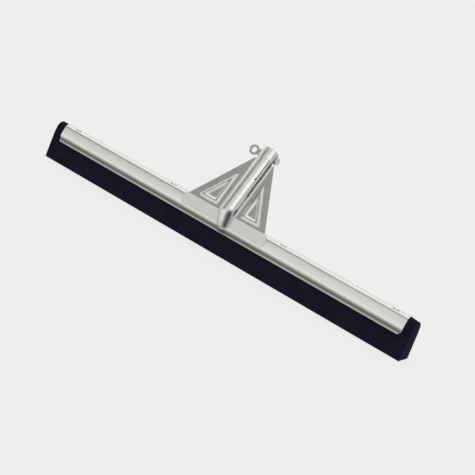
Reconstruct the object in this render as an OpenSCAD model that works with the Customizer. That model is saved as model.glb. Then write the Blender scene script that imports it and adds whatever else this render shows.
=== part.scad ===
// Floor squeegee: a folded foam rubber blade clamped in a folded steel channel, with a pressed
// bracket, a rolled handle socket and a ring screw that clamps the handle.
// X runs along the blade, Y to the rear, Z up. The part stands on its two rubber edges.

/* [Blade] */
// Length of the rubber blade
blade_l = 750; // [350:5:1000]
// Height of the folded blade from its edges to the top of the fold
blade_h = 67; // [62:0.5:80]
// Overall width across the two free edges
blade_w = 33.6; // [30:0.2:38]
// Width of the slit between the two legs, at the floor
slit_foot_w = 2.4; // [1.6:0.1:6]
// Width of that slit at its top, inside the fold
slit_top_w = 1.2; // [0.8:0.1:3]
// How far the rubber stands out past each end of the channel
end_reach = 15.6; // [6:0.2:25]
// Radius of the fold where the rubber is free, past the channel
free_fold_r = 12.5; // [11:0.1:13]
// Half the width of the free rubber below the fold
free_half_w = 14.4; // [13.6:0.1:15.5]
// Height of that width above the floor
free_half_z = 48; // [44:0.5:50]

/* [Channel] */
// Thickness of the channel's sheet
sheet_t = 1; // [0.8:0.1:1.2]
// Gap between the squeezed rubber and the sheet
rubber_fit = 0.05; // [0.02:0.01:0.1]
// Outer radius of the crown
crown_r = 13; // [12.5:0.1:14]
// Angle from the crown's top to the crease
crown_angle = 47; // [44:1:50]
// Depth of the pressed crease line
crease_depth = 0.6; // [0.3:0.05:0.8]
// Half the width of the pressed crease line
crease_half_w = 1.2; // [1:0.1:1.6]
// Lean of the side faces from upright
face_tilt = 19; // [16:0.5:22]
// Width of the side faces, from the crease to the edge bend
face_w = 16.5; // [14:0.5:19]
// Height of the turned-in part between the edge bend and the pinch
pinch_h = 7; // [6:0.1:8]
// How far the turned-in part runs inwards
pinch_in = 2; // [1.4:0.1:2.6]
// Height of the flared lip
lip_h = 3.4; // [2.8:0.1:4.5]
// How far the lip flares outwards
lip_out = 5.4; // [4:0.1:6.5]
// Outer radius of the edge bend
edge_r = 2.2; // [1.6:0.1:2.6]
// Outer radius of the pinch bend
pinch_r = 1.4; // [1:0.1:1.8]
// Radius that rounds the channel's lower end corners
end_corner_r = 3; // [1:0.5:8]

/* [Staples] */
// Distance from the middle to the inner staples
staple_inner_x = 115.6; // [105:0.1:130]
// Distance from each end of the channel to its outer staple
staple_end_x = 25.8; // [15:0.1:40]
// Diameter of the staple wire
staple_wire_d = 1.4; // [1.2:0.1:1.8]
// Spacing of the two legs
staple_span = 8; // [6:0.5:12]
// Length of the legs below the crown
staple_leg_l = 9; // [7:0.5:10]
// Lean of the staples to the front, round the crown
staple_lean = 15; // [0:1:24]
// Clearance round the staple wire
staple_fit = 0.05; // [0.02:0.01:0.1]

/* [Bracket] */
// Thickness of the bracket's sheet
plate_t = 1.5; // [1.2:0.1:2]
// Lean of the wings and the socket from upright
wing_tilt = 33; // [28:1:38]
// Height of the fold above the channel's crease
fold_rise = 5.9; // [5:0.1:8]
// Gap between the top of the wings and the mouth collar
wing_gap = 1; // [0.5:0.5:6]
// Half the width of the wings at the fold
wing_base_x = 79.5; // [70:0.5:84]
// Half the width of the wings at the top
wing_top_x = 19.6; // [18:0.2:24]
// Half the width of the flange
flange_x = 86; // [85:0.5:95]
// Height of the flange below the fold
flange_h = 21.5; // [18:0.5:22.5]
// Corner radius of the flange
flange_r = 6; // [3:0.5:8]

/* [Pressed triangles] */
// Height of the pressed frame above the wing
press_h = 1.8; // [1:0.1:2.4]
// Slope width of the pressed walls
press_slope = 1.5; // [1:0.1:2]
// Distance from the middle to the frame's upright side
press_in_x = 25.5; // [22:0.5:28]
// Distance from the middle to the frame's outer corner
press_out_x = 61.5; // [52:0.5:64]
// Distance of the frame's foot from the fold
press_low = 6; // [4:0.5:9]
// Distance of the frame's top corner from the fold
press_top = 68; // [58:0.5:72]
// How far the frame's upright side leans outwards at the top
press_lean = 1; // [0:0.5:3]
// Share of the frame that the sunk middle takes
press_middle = 0.4; // [0.32:0.01:0.48]

/* [Socket] */
// Diameter of the handle that goes in
handle_d = 24; // [22:0.5:25]
// Clearance round the handle
handle_fit = 0.2; // [0.1:0.05:0.4]
// Wall of the socket
socket_t = 1.2; // [1:0.1:1.5]
// Distance from the fold to the mouth
socket_l = 130.5; // [124:0.5:140]
// Distance from the fold to the foot of the handle's bore
bore_low = 8; // [7:0.5:12]
// Depth of the step at the bore's foot that stops the handle
stop_step = 1; // [0.6:0.1:1.6]
// How far the socket's axis stands in front of the wings
axis_out = 2.4; // [1.5:0.1:3.5]
// Gap between the socket and the bracket's trough
trough_fit = 0.05; // [0.02:0.01:0.1]
// Width of the open seam down the socket's side
seam_w = 2.4; // [1.6:0.1:3]
// Angle of the seam from the front
seam_angle = 80; // [76:1:82]
// Distance from the fold to the foot of the seam
seam_low = 9; // [6:0.5:20]
// Width of the clamping slit
slit_w = 1.6; // [1:0.1:2]
// Angle of the slit from the front
slit_angle = 57; // [50:1:62]
// Distance from the fold to the foot of the slit
slit_low = 71.5; // [50:0.5:90]
// Diameter of the relief hole at the slit's foot
relief_d = 3.4; // [2.4:0.1:4.5]
// Length of the spoon that closes the socket over the flange
spoon_l = 18; // [15:0.5:20]
// Radius of the spoon's closed end
spoon_r = 10; // [8:0.2:11]
// Swing of the spoon towards the seam
spoon_swing = 18; // [0:1:22]
// Rim of the flange's tongue round the spoon
tongue_rim = 1.2; // [0.6:0.1:2]

/* [Mouth collar and nuts] */
// Thickness of the collar
collar_t = 1.2; // [1:0.1:1.6]
// Height of the collar
collar_h = 19; // [16:0.5:20]
// Distance of the collar below the mouth
collar_drop = 2; // [0.5:0.5:3]
// Width of the groove that carries the slit on across the collar
collar_groove_w = 0.9; // [0.6:0.1:1.4]
// Depth of that groove
collar_groove_h = 0.7; // [0.4:0.1:0.9]
// Width of each nut across its flats
nut_af = 13; // [11:0.5:13]
// Thickness of each nut
nut_t = 6.5; // [5.5:0.1:6.8]
// Distance from the middle to each nut's outer face
nut_face_x = 19.2; // [18.5:0.1:20]
// Distance of the screw's axis behind the socket's axis
screw_back = 5.2; // [5.2:0.1:6]
// Distance of the screw's axis below the mouth
screw_drop = 10.2; // [9.5:0.1:11]

/* [Ring screw] */
// Diameter of the tapped hole of an M8 nut
tapped_d = 6.8; // [6:0.1:7]
// Running clearance between the screw and the nut
screw_fit = 0.05; // [0.02:0.01:0.1]
// Clearance of the holes through the socket and the collar
pass_fit = 0.6; // [0.3:0.1:0.8]
// Radius from the eye's centre to the middle of its wire
eye_r = 7; // [5.6:0.1:8]
// Diameter of the eye's wire
eye_wire_d = 4.4; // [3.6:0.1:4.6]
// Lean of the eye from upright
eye_lean = 18; // [0:1:40]
// Diameter of the shoulder under the eye
shoulder_d = 9.6; // [9:0.1:11]
// Length of the shoulder
shoulder_l = 1.6; // [1.2:0.1:2]
// Outer diameter of the lock washer
washer_d = 12.4; // [11:0.1:13]
// Thickness of the lock washer
washer_t = 0.9; // [0.7:0.1:1.2]
// Gap between the washer and the nut before the screw is driven home
drive_gap = 0.8; // [0.7:0.05:1.5]
// Gap between the screw's tip and the socket's bore
tip_gap = 0.15; // [0.05:0.05:0.4]

/* [Hidden] */

ROUND = 96;
BEND_STEPS = 6;
CROWN_STEPS = 24;
EPS = 0.02;
// Steps that keep the socket's ball and taper from meeting its other surfaces in a tangent
BALL_STEP = 0.1;
TAPER_STEP = 0.3;
BALL_ROUND = 48;
WIRE_ROUND = 32;
FAR = 200;

// Channel section, as points [y, z] of its outer surface on the front side
channel_l = blade_l - 2 * end_reach;
crown_z = blade_h + rubber_fit + sheet_t - crown_r;
crease_y = -crown_r * sin(crown_angle);
crease_z = crown_z + crown_r * cos(crown_angle);
face_down = [-sin(face_tilt), -cos(face_tilt)];
face_out = [-cos(face_tilt), sin(face_tilt)];
crease = [crease_y, crease_z];
edge = crease + face_w * face_down;
pinch = edge + [pinch_in, -pinch_h];
lip = pinch + [-lip_out, -lip_h];
crease_step = crease_half_w / crown_r * 180 / PI;
lip_z = lip.y;

function unit(v) = v / norm(v);
function turn_to(a) = a > 180 ? a - 360 : (a < -180 ? a + 360 : a);

// Points of the arc that rounds corner b between a and c
function corner_arc(a, b, c, r) =
    let (u = unit(a - b), v = unit(c - b), half = acos(u * v) / 2)
    let (centre = b + unit(u + v) * r / sin(half))
    let (from = b + u * r / tan(half) - centre, to = b + v * r / tan(half) - centre)
    let (start = atan2(from.y, from.x), sweep = turn_to(atan2(to.y, to.x) - start))
    [for (i = [0 : BEND_STEPS]) centre + r * [cos(start + sweep * i / BEND_STEPS),
                                              sin(start + sweep * i / BEND_STEPS)]];

// The path moved sideways by d, to the right of its run
function side(a, b) = let (u = unit(b - a)) [u.y, -u.x];
function moved(p, d) =
    let (last = len(p) - 1)
    [for (i = [0 : last])
        let (before = side(p[max(i - 1, 0)], p[max(i, 1)]))
        let (after = side(p[min(i, last - 1)], p[min(i + 1, last)]))
        p[i] + d * (before + after) / (1 + before * after)];

function mirrored(p) = [for (i = [len(p) - 1 : -1 : 0]) [-p[i].x, p[i].y]];
function reversed(p) = [for (i = [len(p) - 1 : -1 : 0]) p[i]];

lip_bend = corner_arc(lip, pinch, edge, pinch_r);
edge_bend = corner_arc(pinch, edge, crease, edge_r);
crease_line = [crease + crease_half_w * face_down, crease - crease_depth * face_out];
crown_arc = [for (i = [0 : CROWN_STEPS - 1])
    let (a = 90 + (crown_angle - crease_step) * (1 - i / CROWN_STEPS))
    [0, crown_z] + crown_r * [cos(a), sin(a)]];
front_path = concat([lip], lip_bend, edge_bend, crease_line, crown_arc);
section_path = concat(front_path, [[0, crown_z + crown_r]], mirrored(front_path));

// Point of the section at which the rubber leaves the sheet, two thirds round the pinch bend
leave_at = 5;
grip_path = moved(section_path, sheet_t + rubber_fit);
gripped = [for (i = [leave_at : len(grip_path) - 1 - leave_at]) grip_path[i]];

// The free rubber, past the channel, from its front foot over the fold
FREE_FROM = 20;
free_fold_z = blade_h - free_fold_r;
free_arc = [for (i = [0 : CROWN_STEPS])
    let (a = 180 - FREE_FROM - (180 - 2 * FREE_FROM) * i / CROWN_STEPS)
    [0, free_fold_z] + free_fold_r * [cos(a), sin(a)]];
free_path = concat([[-free_half_w, free_half_z]], free_arc, [[free_half_w, free_half_z]]);
free_l = (blade_l - channel_l) / 2 - rubber_fit;

// Bracket frame: the fold line lies on the flange's front face
fold_y = crease_y + fold_rise * tan(face_tilt) - plate_t / cos(face_tilt);
fold_z = crease_z + fold_rise;
wing_up = [0, sin(wing_tilt), cos(wing_tilt)];
wing_out = [0, -cos(wing_tilt), sin(wing_tilt)];
trough_r = handle_d / 2 + handle_fit + socket_t + trough_fit;

// Socket
bore_r = handle_d / 2 + handle_fit;
socket_r = bore_r + socket_t;
collar_r = socket_r + collar_t;
collar_top = socket_l - collar_drop;
screw_s = socket_l - screw_drop;

wing_l = collar_top - collar_h - wing_gap;

// Ring screw, along X from the middle of the socket
screw_r = tapped_d / 2 - screw_fit;
pass_r = tapped_d / 2 + pass_fit;
washer_x = nut_face_x + drive_gap;
shoulder_x = washer_x + washer_t + EPS;
eye_x = shoulder_x + shoulder_l / 2 + eye_r + eye_wire_d / 2;
tip_x = bore_r + tip_gap;

// The origin is the middle of the footprint of the whole part
spoon_y = fold_y + axis_out * wing_out.y - spoon_l * sin(face_tilt) * cos(spoon_swing);
bend_y = fold_y + axis_out * wing_out.y;
front_y = min(bend_y - socket_r, spoon_y - spoon_r);
mouth_rear_y = bend_y + socket_l * wing_up.y - socket_r * wing_out.y;
collar_rear_y = bend_y + collar_top * wing_up.y - collar_r * wing_out.y;
rear_y = max(mouth_rear_y, collar_rear_y);
shift_y = -(front_y + rear_y) / 2;

module placed() {
    translate([0, shift_y, 0]) children();
}

// Draws a [y, z] outline along X
module along_x(length) {
    rotate([90, 0, 90]) translate([0, 0, -length / 2]) linear_extrude(length) children();
}

module on_flange() {
    translate([0, fold_y, fold_z]) rotate([90 - face_tilt, 0, 0]) children();
}

module on_wing() {
    translate([0, fold_y, fold_z]) rotate([90 - wing_tilt, 0, 0]) children();
}

// Z up the socket's axis, the front is -Y
module on_socket() {
    on_wing() translate([0, 0, axis_out]) rotate([-90, 0, 0]) children();
}

module on_spoon() {
    on_wing() translate([0, 0, axis_out])
        rotate([wing_tilt - face_tilt, 0, 0])
            rotate([0, 0, spoon_swing]) rotate([90, 0, 0]) children();
}

// X along the screw's axis, Z out of the wings
module on_screw() {
    on_wing() translate([0, screw_s, axis_out - screw_back]) children();
}

module x_rod(r, from, to) {
    translate([from, 0, 0]) rotate([0, 90, 0]) cylinder(h = to - from, r = r, $fn = ROUND);
}

staple_outer_x = channel_l / 2 - staple_end_x;
staple_places = [-staple_outer_x, -staple_inner_x, staple_inner_x, staple_outer_x];

module staple_legs(x, d, from, to) {
    for (leg = [-1, 1])
        translate([x + leg * staple_span / 2, 0, from]) cylinder(h = to - from, d = d, $fn = WIRE_ROUND);
}

// Leans to the front round the middle of the crown
module on_crown() {
    translate([0, 0, crown_z]) rotate([staple_lean, 0, 0]) translate([0, 0, -crown_z]) children();
}

module end_corner_cut(end) {
    translate([end * (channel_l / 2 - end_corner_r), 0, lip_z + end_corner_r])
        difference() {
            translate([end > 0 ? 0 : -end_corner_r - 1, -FAR / 2, -end_corner_r - 1])
                cube([end_corner_r + 1, FAR, end_corner_r + 1]);
            rotate([90, 0, 0]) cylinder(h = FAR + 2, r = end_corner_r, center = true, $fn = ROUND);
        }
}

module channel() {
    placed() color("silver") difference() {
        along_x(channel_l)
            polygon(concat(section_path, reversed(moved(section_path, sheet_t))));
        for (end = [-1, 1]) end_corner_cut(end);
        on_crown() for (x = staple_places)
            staple_legs(x, staple_wire_d + 2 * staple_fit, crown_z, blade_h + FAR);
    }
}

// Section of the folded rubber below an outline, with the slit between its legs
module blade_section(outline) {
    difference() {
        polygon(concat(outline, [[blade_w / 2, 0], [-blade_w / 2, 0]]));
        polygon([[-slit_foot_w / 2, -EPS], [-slit_top_w / 2, crown_z],
                 [slit_top_w / 2, crown_z], [slit_foot_w / 2, -EPS]]);
        translate([0, crown_z]) circle(d = slit_top_w, $fn = WIRE_ROUND);
    }
}

module rubber_blade() {
    placed() color([0.11, 0.1, 0.13]) difference() {
        union() {
            along_x(blade_l) blade_section(gripped);
            for (end = [-1, 1]) translate([end * (blade_l - free_l) / 2, 0, 0])
                along_x(free_l) blade_section(free_path);
        }
        on_crown() for (x = staple_places)
            staple_legs(x, staple_wire_d + 2 * staple_fit, blade_h - staple_leg_l - 1, blade_h + 1);
    }
}

// A wire staple whose crown lies on the channel
module staple(x) {
    crown_top = crown_z + crown_r;
    bar_z = crown_top + staple_wire_d / 2;
    placed() color("lightgray") on_crown() {
        staple_legs(x, staple_wire_d, blade_h - staple_leg_l, bar_z);
        for (leg = [-1, 1])
            translate([x + leg * staple_span / 2, 0, bar_z]) sphere(d = staple_wire_d, $fn = WIRE_ROUND);
        translate([x, 0, bar_z]) rotate([0, 90, 0])
            cylinder(h = staple_span, d = staple_wire_d, center = true, $fn = WIRE_ROUND);
    }
}

module staple_1() {
    staple(staple_places[0]);
}

module staple_2() {
    staple(staple_places[1]);
}

module staple_3() {
    staple(staple_places[2]);
}

module staple_4() {
    staple(staple_places[3]);
}

// A triangle with walls that slope inwards by rise, for the pressed frames
module sloped_triangle(corners, low, high, inset) {
    angle = atan2(inset, high - low);
    intersection() {
        translate([-FAR / 2, -FAR / 2, low]) cube([FAR, FAR, high - low]);
        for_edges(corners, angle, low);
    }
}

module for_edges(corners, angle, low) {
    intersection_for (i = [0 : 2]) {
        a = corners[i];
        b = corners[(i + 1) % 3];
        translate([a.x, a.y, low]) rotate([0, 0, atan2(b.y - a.y, b.x - a.x)])
            rotate([-angle, 0, 0]) translate([-FAR, 0, -FAR / 2]) cube([2 * FAR, FAR, FAR]);
    }
}

// The frame's corners, in anticlockwise order on the right wing
press_corners = [[press_in_x, press_low], [press_out_x, press_low],
                 [press_in_x + press_lean, press_top]];
press_sides = [for (i = [0 : 2]) norm(press_corners[(i + 2) % 3] - press_corners[(i + 1) % 3])];
press_round = press_sides[0] + press_sides[1] + press_sides[2];
press_centre = press_sides * press_corners / press_round;
press_inner_r = abs(cross(press_corners[1] - press_corners[0],
                          press_corners[2] - press_corners[0])) / press_round;
function shrunk(p, share) = [for (c = p) press_centre + share * (c - press_centre)];
function mirror_x(p) = [for (i = [len(p) - 1 : -1 : 0]) [-p[i].x, p[i].y]];
function handed(p, hand) = hand > 0 ? p : mirror_x(p);

// The step between the two faces of a pressed wall, as a share of the triangle
wall_share = plate_t / 2 / press_inner_r;

module frame_raise(hand) {
    sloped_triangle(handed(press_corners, hand), -EPS, press_h, press_slope);
}

module frame_hollow(hand) {
    inner = shrunk(press_corners, 1 - wall_share);
    sloped_triangle(handed(inner, hand), -plate_t - EPS, press_h - plate_t, press_slope);
}

module middle_sink(hand) {
    middle = shrunk(press_corners, press_middle);
    translate([0, 0, press_h]) mirror([0, 0, 1])
        sloped_triangle(handed(middle, hand), -EPS, press_h, press_slope);
}

module middle_back(hand) {
    middle = shrunk(press_corners, press_middle + wall_share);
    translate([0, 0, press_h - plate_t + EPS]) mirror([0, 0, 1])
        sloped_triangle(handed(middle, hand), 0, press_h + EPS, press_slope);
}

module wing_outline() {
    polygon([[-wing_base_x, 0], [wing_base_x, 0], [wing_top_x, wing_l], [-wing_top_x, wing_l]]);
}

// The pressed triangles stand out at the front, are hollow behind, and sink in the middle
module wings() {
    difference() {
        union() {
            translate([0, 0, -plate_t]) linear_extrude(plate_t) wing_outline();
            for (hand = [-1, 1]) frame_raise(hand);
        }
        for (hand = [-1, 1]) {
            difference() {
                frame_hollow(hand);
                middle_back(hand);
            }
            middle_sink(hand);
        }
    }
}

module trough() {
    difference() {
        cylinder(h = wing_l - 1, r = trough_r + plate_t, $fn = ROUND);
        translate([-FAR / 2, -FAR - EPS + axis_out, -1]) cube([FAR, FAR, FAR]);
    }
}

module flange_outline() {
    shoulder = flange_x - wing_base_x;
    difference() {
        polygon([[-wing_base_x, 0], [-flange_x, -shoulder / 2], [-flange_x, -flange_h],
                 [flange_x, -flange_h], [flange_x, -shoulder / 2], [wing_base_x, 0]]);
        for (end = [-1, 1]) translate([end * (flange_x - flange_r), -flange_h + flange_r])
            difference() {
                translate([end > 0 ? 0 : -flange_r - 1, -flange_r - 1]) square(flange_r + 1);
                circle(r = flange_r, $fn = ROUND);
            }
    }
    translate([spoon_l * sin(spoon_swing), -spoon_l * cos(spoon_swing)])
        circle(r = spoon_r + tongue_rim, $fn = ROUND);
}

module crown_clear() {
    translate([0, 0, crown_z]) x_rod(crown_r + trough_fit, -FAR, FAR);
}

module bracket_plate() {
    placed() color([0.72, 0.73, 0.71]) difference() {
        union() {
            difference() {
                union() {
                    on_wing() wings();
                    on_wing() translate([0, 0, -plate_t])
                        x_rod(plate_t, -wing_base_x, wing_base_x);
                    on_socket() trough();
                }
                on_socket() translate([0, 0, -socket_r]) cylinder(h = FAR, r = trough_r, $fn = ROUND);
            }
            on_flange() translate([0, 0, -plate_t]) linear_extrude(plate_t) flange_outline();
        }
        crown_clear();
    }
}

// Short tube, ball and spoon at the socket's foot, for its outer form and for its hollow
module socket_foot(tube_r, end_r) {
    on_socket() cylinder(h = bore_low + EPS, r = tube_r, $fn = ROUND);
    on_socket() sphere(r = tube_r, $fn = BALL_ROUND);
    on_spoon() cylinder(h = spoon_l, r1 = tube_r - TAPER_STEP, r2 = end_r - TAPER_STEP, $fn = ROUND);
    on_spoon() translate([0, 0, spoon_l]) sphere(r = end_r, $fn = BALL_ROUND);
}

module side_slot(angle, w, from, to, depth, r) {
    rotate([0, 0, angle]) translate([-w / 2, -r - 1, from]) cube([w, depth + 1, to - from]);
}

module handle_socket() {
    placed() color([0.8, 0.81, 0.8]) difference() {
        union() {
            on_socket() cylinder(h = socket_l, r = socket_r, $fn = ROUND);
            socket_foot(socket_r - BALL_STEP, spoon_r);
        }
        on_socket() translate([0, 0, bore_low])
            cylinder(h = socket_l - bore_low + 1, r = bore_r, $fn = ROUND);
        socket_foot(bore_r - stop_step, spoon_r - socket_t);
        crown_clear();
        on_flange() translate([-FAR / 2, -FAR, -FAR]) cube([FAR, FAR, FAR]);
        on_socket() {
            side_slot(seam_angle, seam_w, seam_low, FAR, socket_t * 2, socket_r);
            side_slot(slit_angle, slit_w, slit_low, FAR, socket_t * 2, socket_r);
            translate([0, 0, slit_low]) rotate([90, 0, slit_angle])
                cylinder(h = FAR, d = relief_d, $fn = ROUND);
        }
        on_screw() x_rod(pass_r, -FAR, FAR);
    }
}

module mouth_collar() {
    placed() color([0.82, 0.83, 0.82]) difference() {
        on_socket() difference() {
            translate([0, 0, collar_top - collar_h])
                cylinder(h = collar_h, r = collar_r, $fn = ROUND);
            cylinder(h = FAR, r = socket_r, $fn = ROUND);
            side_slot(seam_angle, seam_w, 0, FAR, collar_t * 3, collar_r);
            side_slot(slit_angle, collar_groove_w, 0, FAR, collar_groove_h, collar_r);
        }
        on_screw() x_rod(pass_r, -FAR, FAR);
    }
}

// A hexagonal nut whose seat is hollowed to the collar
module weld_nut(hand) {
    placed() color([0.7, 0.7, 0.68]) difference() {
        on_screw() rotate([0, hand * 90, 0]) translate([0, 0, nut_face_x - nut_t])
            rotate([0, 0, 30]) cylinder(h = nut_t, d = nut_af / cos(30), $fn = 6);
        on_socket() cylinder(h = FAR, r = collar_r, $fn = ROUND);
        on_screw() x_rod(tapped_d / 2, -FAR, FAR);
    }
}

module weld_nut_left() {
    weld_nut(-1);
}

module weld_nut_right() {
    weld_nut(1);
}

module lock_washer() {
    placed() color("gray") on_screw() difference() {
        x_rod(washer_d / 2, -washer_x - washer_t, -washer_x);
        x_rod(tapped_d / 2, -FAR, FAR);
    }
}

module ring_screw() {
    placed() color([0.75, 0.75, 0.73]) on_screw() {
        x_rod(screw_r, -shoulder_x - EPS, -tip_x);
        x_rod(shoulder_d / 2, -shoulder_x - shoulder_l, -shoulder_x);
        translate([-eye_x, 0, 0]) rotate([wing_tilt - eye_lean, 0, 0])
            rotate_extrude($fn = ROUND) translate([eye_r, 0]) circle(d = eye_wire_d, $fn = BALL_ROUND);
    }
}

channel();
rubber_blade();
staple_1();
staple_2();
staple_3();
staple_4();
bracket_plate();
handle_socket();
mouth_collar();
weld_nut_left();
weld_nut_right();
lock_washer();
ring_screw();
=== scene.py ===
"""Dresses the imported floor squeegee: sheet steel, foam rubber, hardware, studio light and camera.

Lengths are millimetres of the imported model's frame until a mesh is made, and metres in the meshes.
"""
import logging
from contextlib import contextmanager
from dataclasses import dataclass
from enum import Enum
from math import acos, atan2, cos, degrees, hypot, pi, radians, sin, sqrt, tan
from typing import Callable, ClassVar, Iterator, Optional, Sequence, Union

import bmesh
import bpy
import numpy as np
from bpy.types import Material, Mesh, Node, NodeSocket, NodeTree, Object, World
from mathutils import Euler, Matrix, Vector


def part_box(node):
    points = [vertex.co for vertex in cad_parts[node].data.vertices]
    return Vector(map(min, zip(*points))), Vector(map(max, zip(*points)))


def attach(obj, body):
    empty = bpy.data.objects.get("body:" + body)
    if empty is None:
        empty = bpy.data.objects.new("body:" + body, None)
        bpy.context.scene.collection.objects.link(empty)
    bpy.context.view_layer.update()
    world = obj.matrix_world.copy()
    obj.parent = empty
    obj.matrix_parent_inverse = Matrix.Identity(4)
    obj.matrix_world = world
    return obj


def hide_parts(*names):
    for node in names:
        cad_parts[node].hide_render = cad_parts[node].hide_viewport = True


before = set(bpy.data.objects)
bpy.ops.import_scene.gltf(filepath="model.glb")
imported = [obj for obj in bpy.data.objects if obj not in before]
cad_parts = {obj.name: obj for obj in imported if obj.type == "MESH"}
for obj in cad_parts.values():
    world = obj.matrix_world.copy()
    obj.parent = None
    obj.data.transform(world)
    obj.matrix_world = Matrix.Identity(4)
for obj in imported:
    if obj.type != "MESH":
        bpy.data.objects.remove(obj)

LOG = logging.getLogger("squeegee")
MM = 0.001
FRAME_BODY, WASHER_BODY, SCREW_BODY = "frame", "washer", "screw"
X_AXIS = np.array([1.0, 0.0, 0.0])
NO_HOLES_AXIS = (0.3, 0.5, 0.8)
# Point attribute with the share of painted shade, or of painted highlight where it is below zero
PAINTED_LIGHT_ATTRIBUTE = "painted_light"
SHARP_ANGLE = 35.0
SOCKET_KINDS = ((float, "NodeSocketFloat"), (int, "NodeSocketInt"), (tuple, "NodeSocketVector"),
                (Material, "NodeSocketMaterial"))

Array = np.ndarray
Axis = tuple[Array, Array]


# Small tools for colours, nodes, paths and meshes


def linear_colour(code: str) -> tuple[float, float, float, float]:
    """Turns an sRGB hex colour, such as "#dddeda", into linear red, green, blue and alpha 1."""
    digits = code.lstrip("#")
    shares = [int(digits[i : i + 2], 16) / 255 for i in (0, 2, 4)]
    linear = [c / 12.92 if c <= 0.04045 else ((c + 0.055) / 1.055) ** 2.4 for c in shares]
    return (*linear, 1.0)


def empty_tree(owner: Union[Material, World]) -> NodeTree:
    """Gives a material or a world an empty node tree."""
    owner.use_nodes = True
    owner.node_tree.nodes.clear()
    return owner.node_tree


def add_node(tree: NodeTree, kind: str, inputs: Optional[dict] = None, **settings) -> Node:
    """Adds a node with its settings, its values and its links.

    Args:
        tree: the shader or geometry tree.
        kind: the node's type name.
        inputs: a value or a socket for each input, by its name or number.
        settings: values for the node's own properties.

    Returns:
        The new node.
    """
    node = tree.nodes.new(kind)
    for name, value in settings.items():
        setattr(node, name, value)
    for key, value in (inputs or {}).items():
        if isinstance(value, NodeSocket):
            tree.links.new(value, node.inputs[key])
        else:
            node.inputs[key].default_value = value
    return node


def output_of(
    tree: NodeTree, kind: str, inputs: Optional[dict] = None, output: Union[int, str] = 0, **settings
) -> NodeSocket:
    """Adds a node and gives one of its outputs."""
    return add_node(tree, kind, inputs, **settings).outputs[output]


def math_of(tree: NodeTree, operation: str, *values) -> NodeSocket:
    """Adds a Math node and gives its output."""
    return output_of(tree, "ShaderNodeMath", dict(enumerate(values)), operation=operation)


def times(tree: NodeTree, *values) -> NodeSocket:
    """Multiplies two values."""
    return math_of(tree, "MULTIPLY", *values)


def along_x(tree: NodeTree, value: NodeSocket) -> NodeSocket:
    """Turns a value into a vector along X."""
    return output_of(tree, "ShaderNodeCombineXYZ", {"X": value})


def ranged(
    tree: NodeTree, value: NodeSocket, span: Sequence, to_span: Sequence = (0.0, 1.0), shape: str = "LINEAR"
) -> NodeSocket:
    """Maps a value from one span to another, held at both ends."""
    inputs = dict(zip(("Value", "From Min", "From Max", "To Min", "To Max"), (value, *span, *to_span)))
    return output_of(tree, "ShaderNodeMapRange", inputs, interpolation_type=shape)


def noise_of(tree: NodeTree, place: NodeSocket, scale: float, detail: float, roughness: float = 0.5) -> NodeSocket:
    """Noise at a place."""
    inputs = {"Vector": place, "Scale": scale, "Detail": detail, "Roughness": roughness}
    return output_of(tree, "ShaderNodeTexNoise", inputs, "Fac")


def tinted(tree: NodeTree, share: NodeSocket, base: Union[str, NodeSocket], tint: str) -> NodeSocket:
    """Mixes a base colour, a hex code or a socket, with a tint's hex code."""
    base = linear_colour(base) if isinstance(base, str) else base
    inputs = {"Factor": share, 6: base, 7: linear_colour(tint)}
    return output_of(tree, "ShaderNodeMix", inputs, 2, data_type="RGBA")


def bumped(tree: NodeTree, height: NodeSocket, strength: float, depth_mm: float) -> NodeSocket:
    """Shading normal of a fine relief."""
    return output_of(tree, "ShaderNodeBump", {"Height": height, "Strength": strength, "Distance": depth_mm * MM})


def swept(tree: NodeTree, path: NodeSocket, profile: NodeSocket) -> NodeSocket:
    """Sweeps a closed profile along a curve, with both ends closed."""
    return output_of(tree, "GeometryNodeCurveToMesh", {"Curve": path, "Profile Curve": profile, "Fill Caps": True})


def smooth_step(values: Union[float, Array]) -> Array:
    """Eases values from 0 to 1, and holds them outside."""
    held = np.clip(values, 0.0, 1.0)
    return held * held * (3 - 2 * held)


def unit(vector: Array) -> Array:
    """Gives a vector the length 1."""
    return vector / np.linalg.norm(vector)


def full_turn(count: int) -> Array:
    """Equal angles round a circle, in radians."""
    return np.linspace(0, 2 * pi, count, endpoint=False)


def arc_points(centre: Sequence[float], radius: float, start: float, end: float, steps: int) -> list[Array]:
    """Points along an arc in a plane, from one angle to another in degrees."""
    angles = np.radians(np.linspace(start, end, steps + 1))
    return [np.array(centre) + radius * np.array([cos(a), sin(a)]) for a in angles]


def rounded(points: Sequence[Sequence[float]], radii: Sequence[float], steps: int = 6) -> Array:
    """Rounds the corners of an open path.

    Args:
        points: the path's corners.
        radii: one radius for each corner, 0 to keep it.
        steps: pieces of each arc.

    Returns:
        The rounded path, one point a row.
    """
    path = [np.array(p, float) for p in points]
    made = []
    for i, (corner, radius) in enumerate(zip(path, radii)):
        if radius <= 0 or i in (0, len(path) - 1):
            made.append(corner)
            continue
        back, ahead = unit(path[i - 1] - corner), unit(path[i + 1] - corner)
        half = acos(np.clip(back @ ahead, -1, 1)) / 2
        centre = corner + unit(back + ahead) * radius / sin(half)
        first = corner + back * radius / tan(half) - centre
        last = corner + ahead * radius / tan(half) - centre
        start = atan2(first[1], first[0])
        sweep = (atan2(last[1], last[0]) - start + pi) % (2 * pi) - pi
        for angle in start + sweep * np.linspace(0, 1, steps + 1):
            made.append(centre + radius * np.array([cos(angle), sin(angle)]))
    return np.array(made)


def mirrored(half: Array) -> Array:
    """Adds the other half of a path that ends on the middle line."""
    return np.vstack([half, half[-2::-1] * [-1, 1]])


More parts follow.
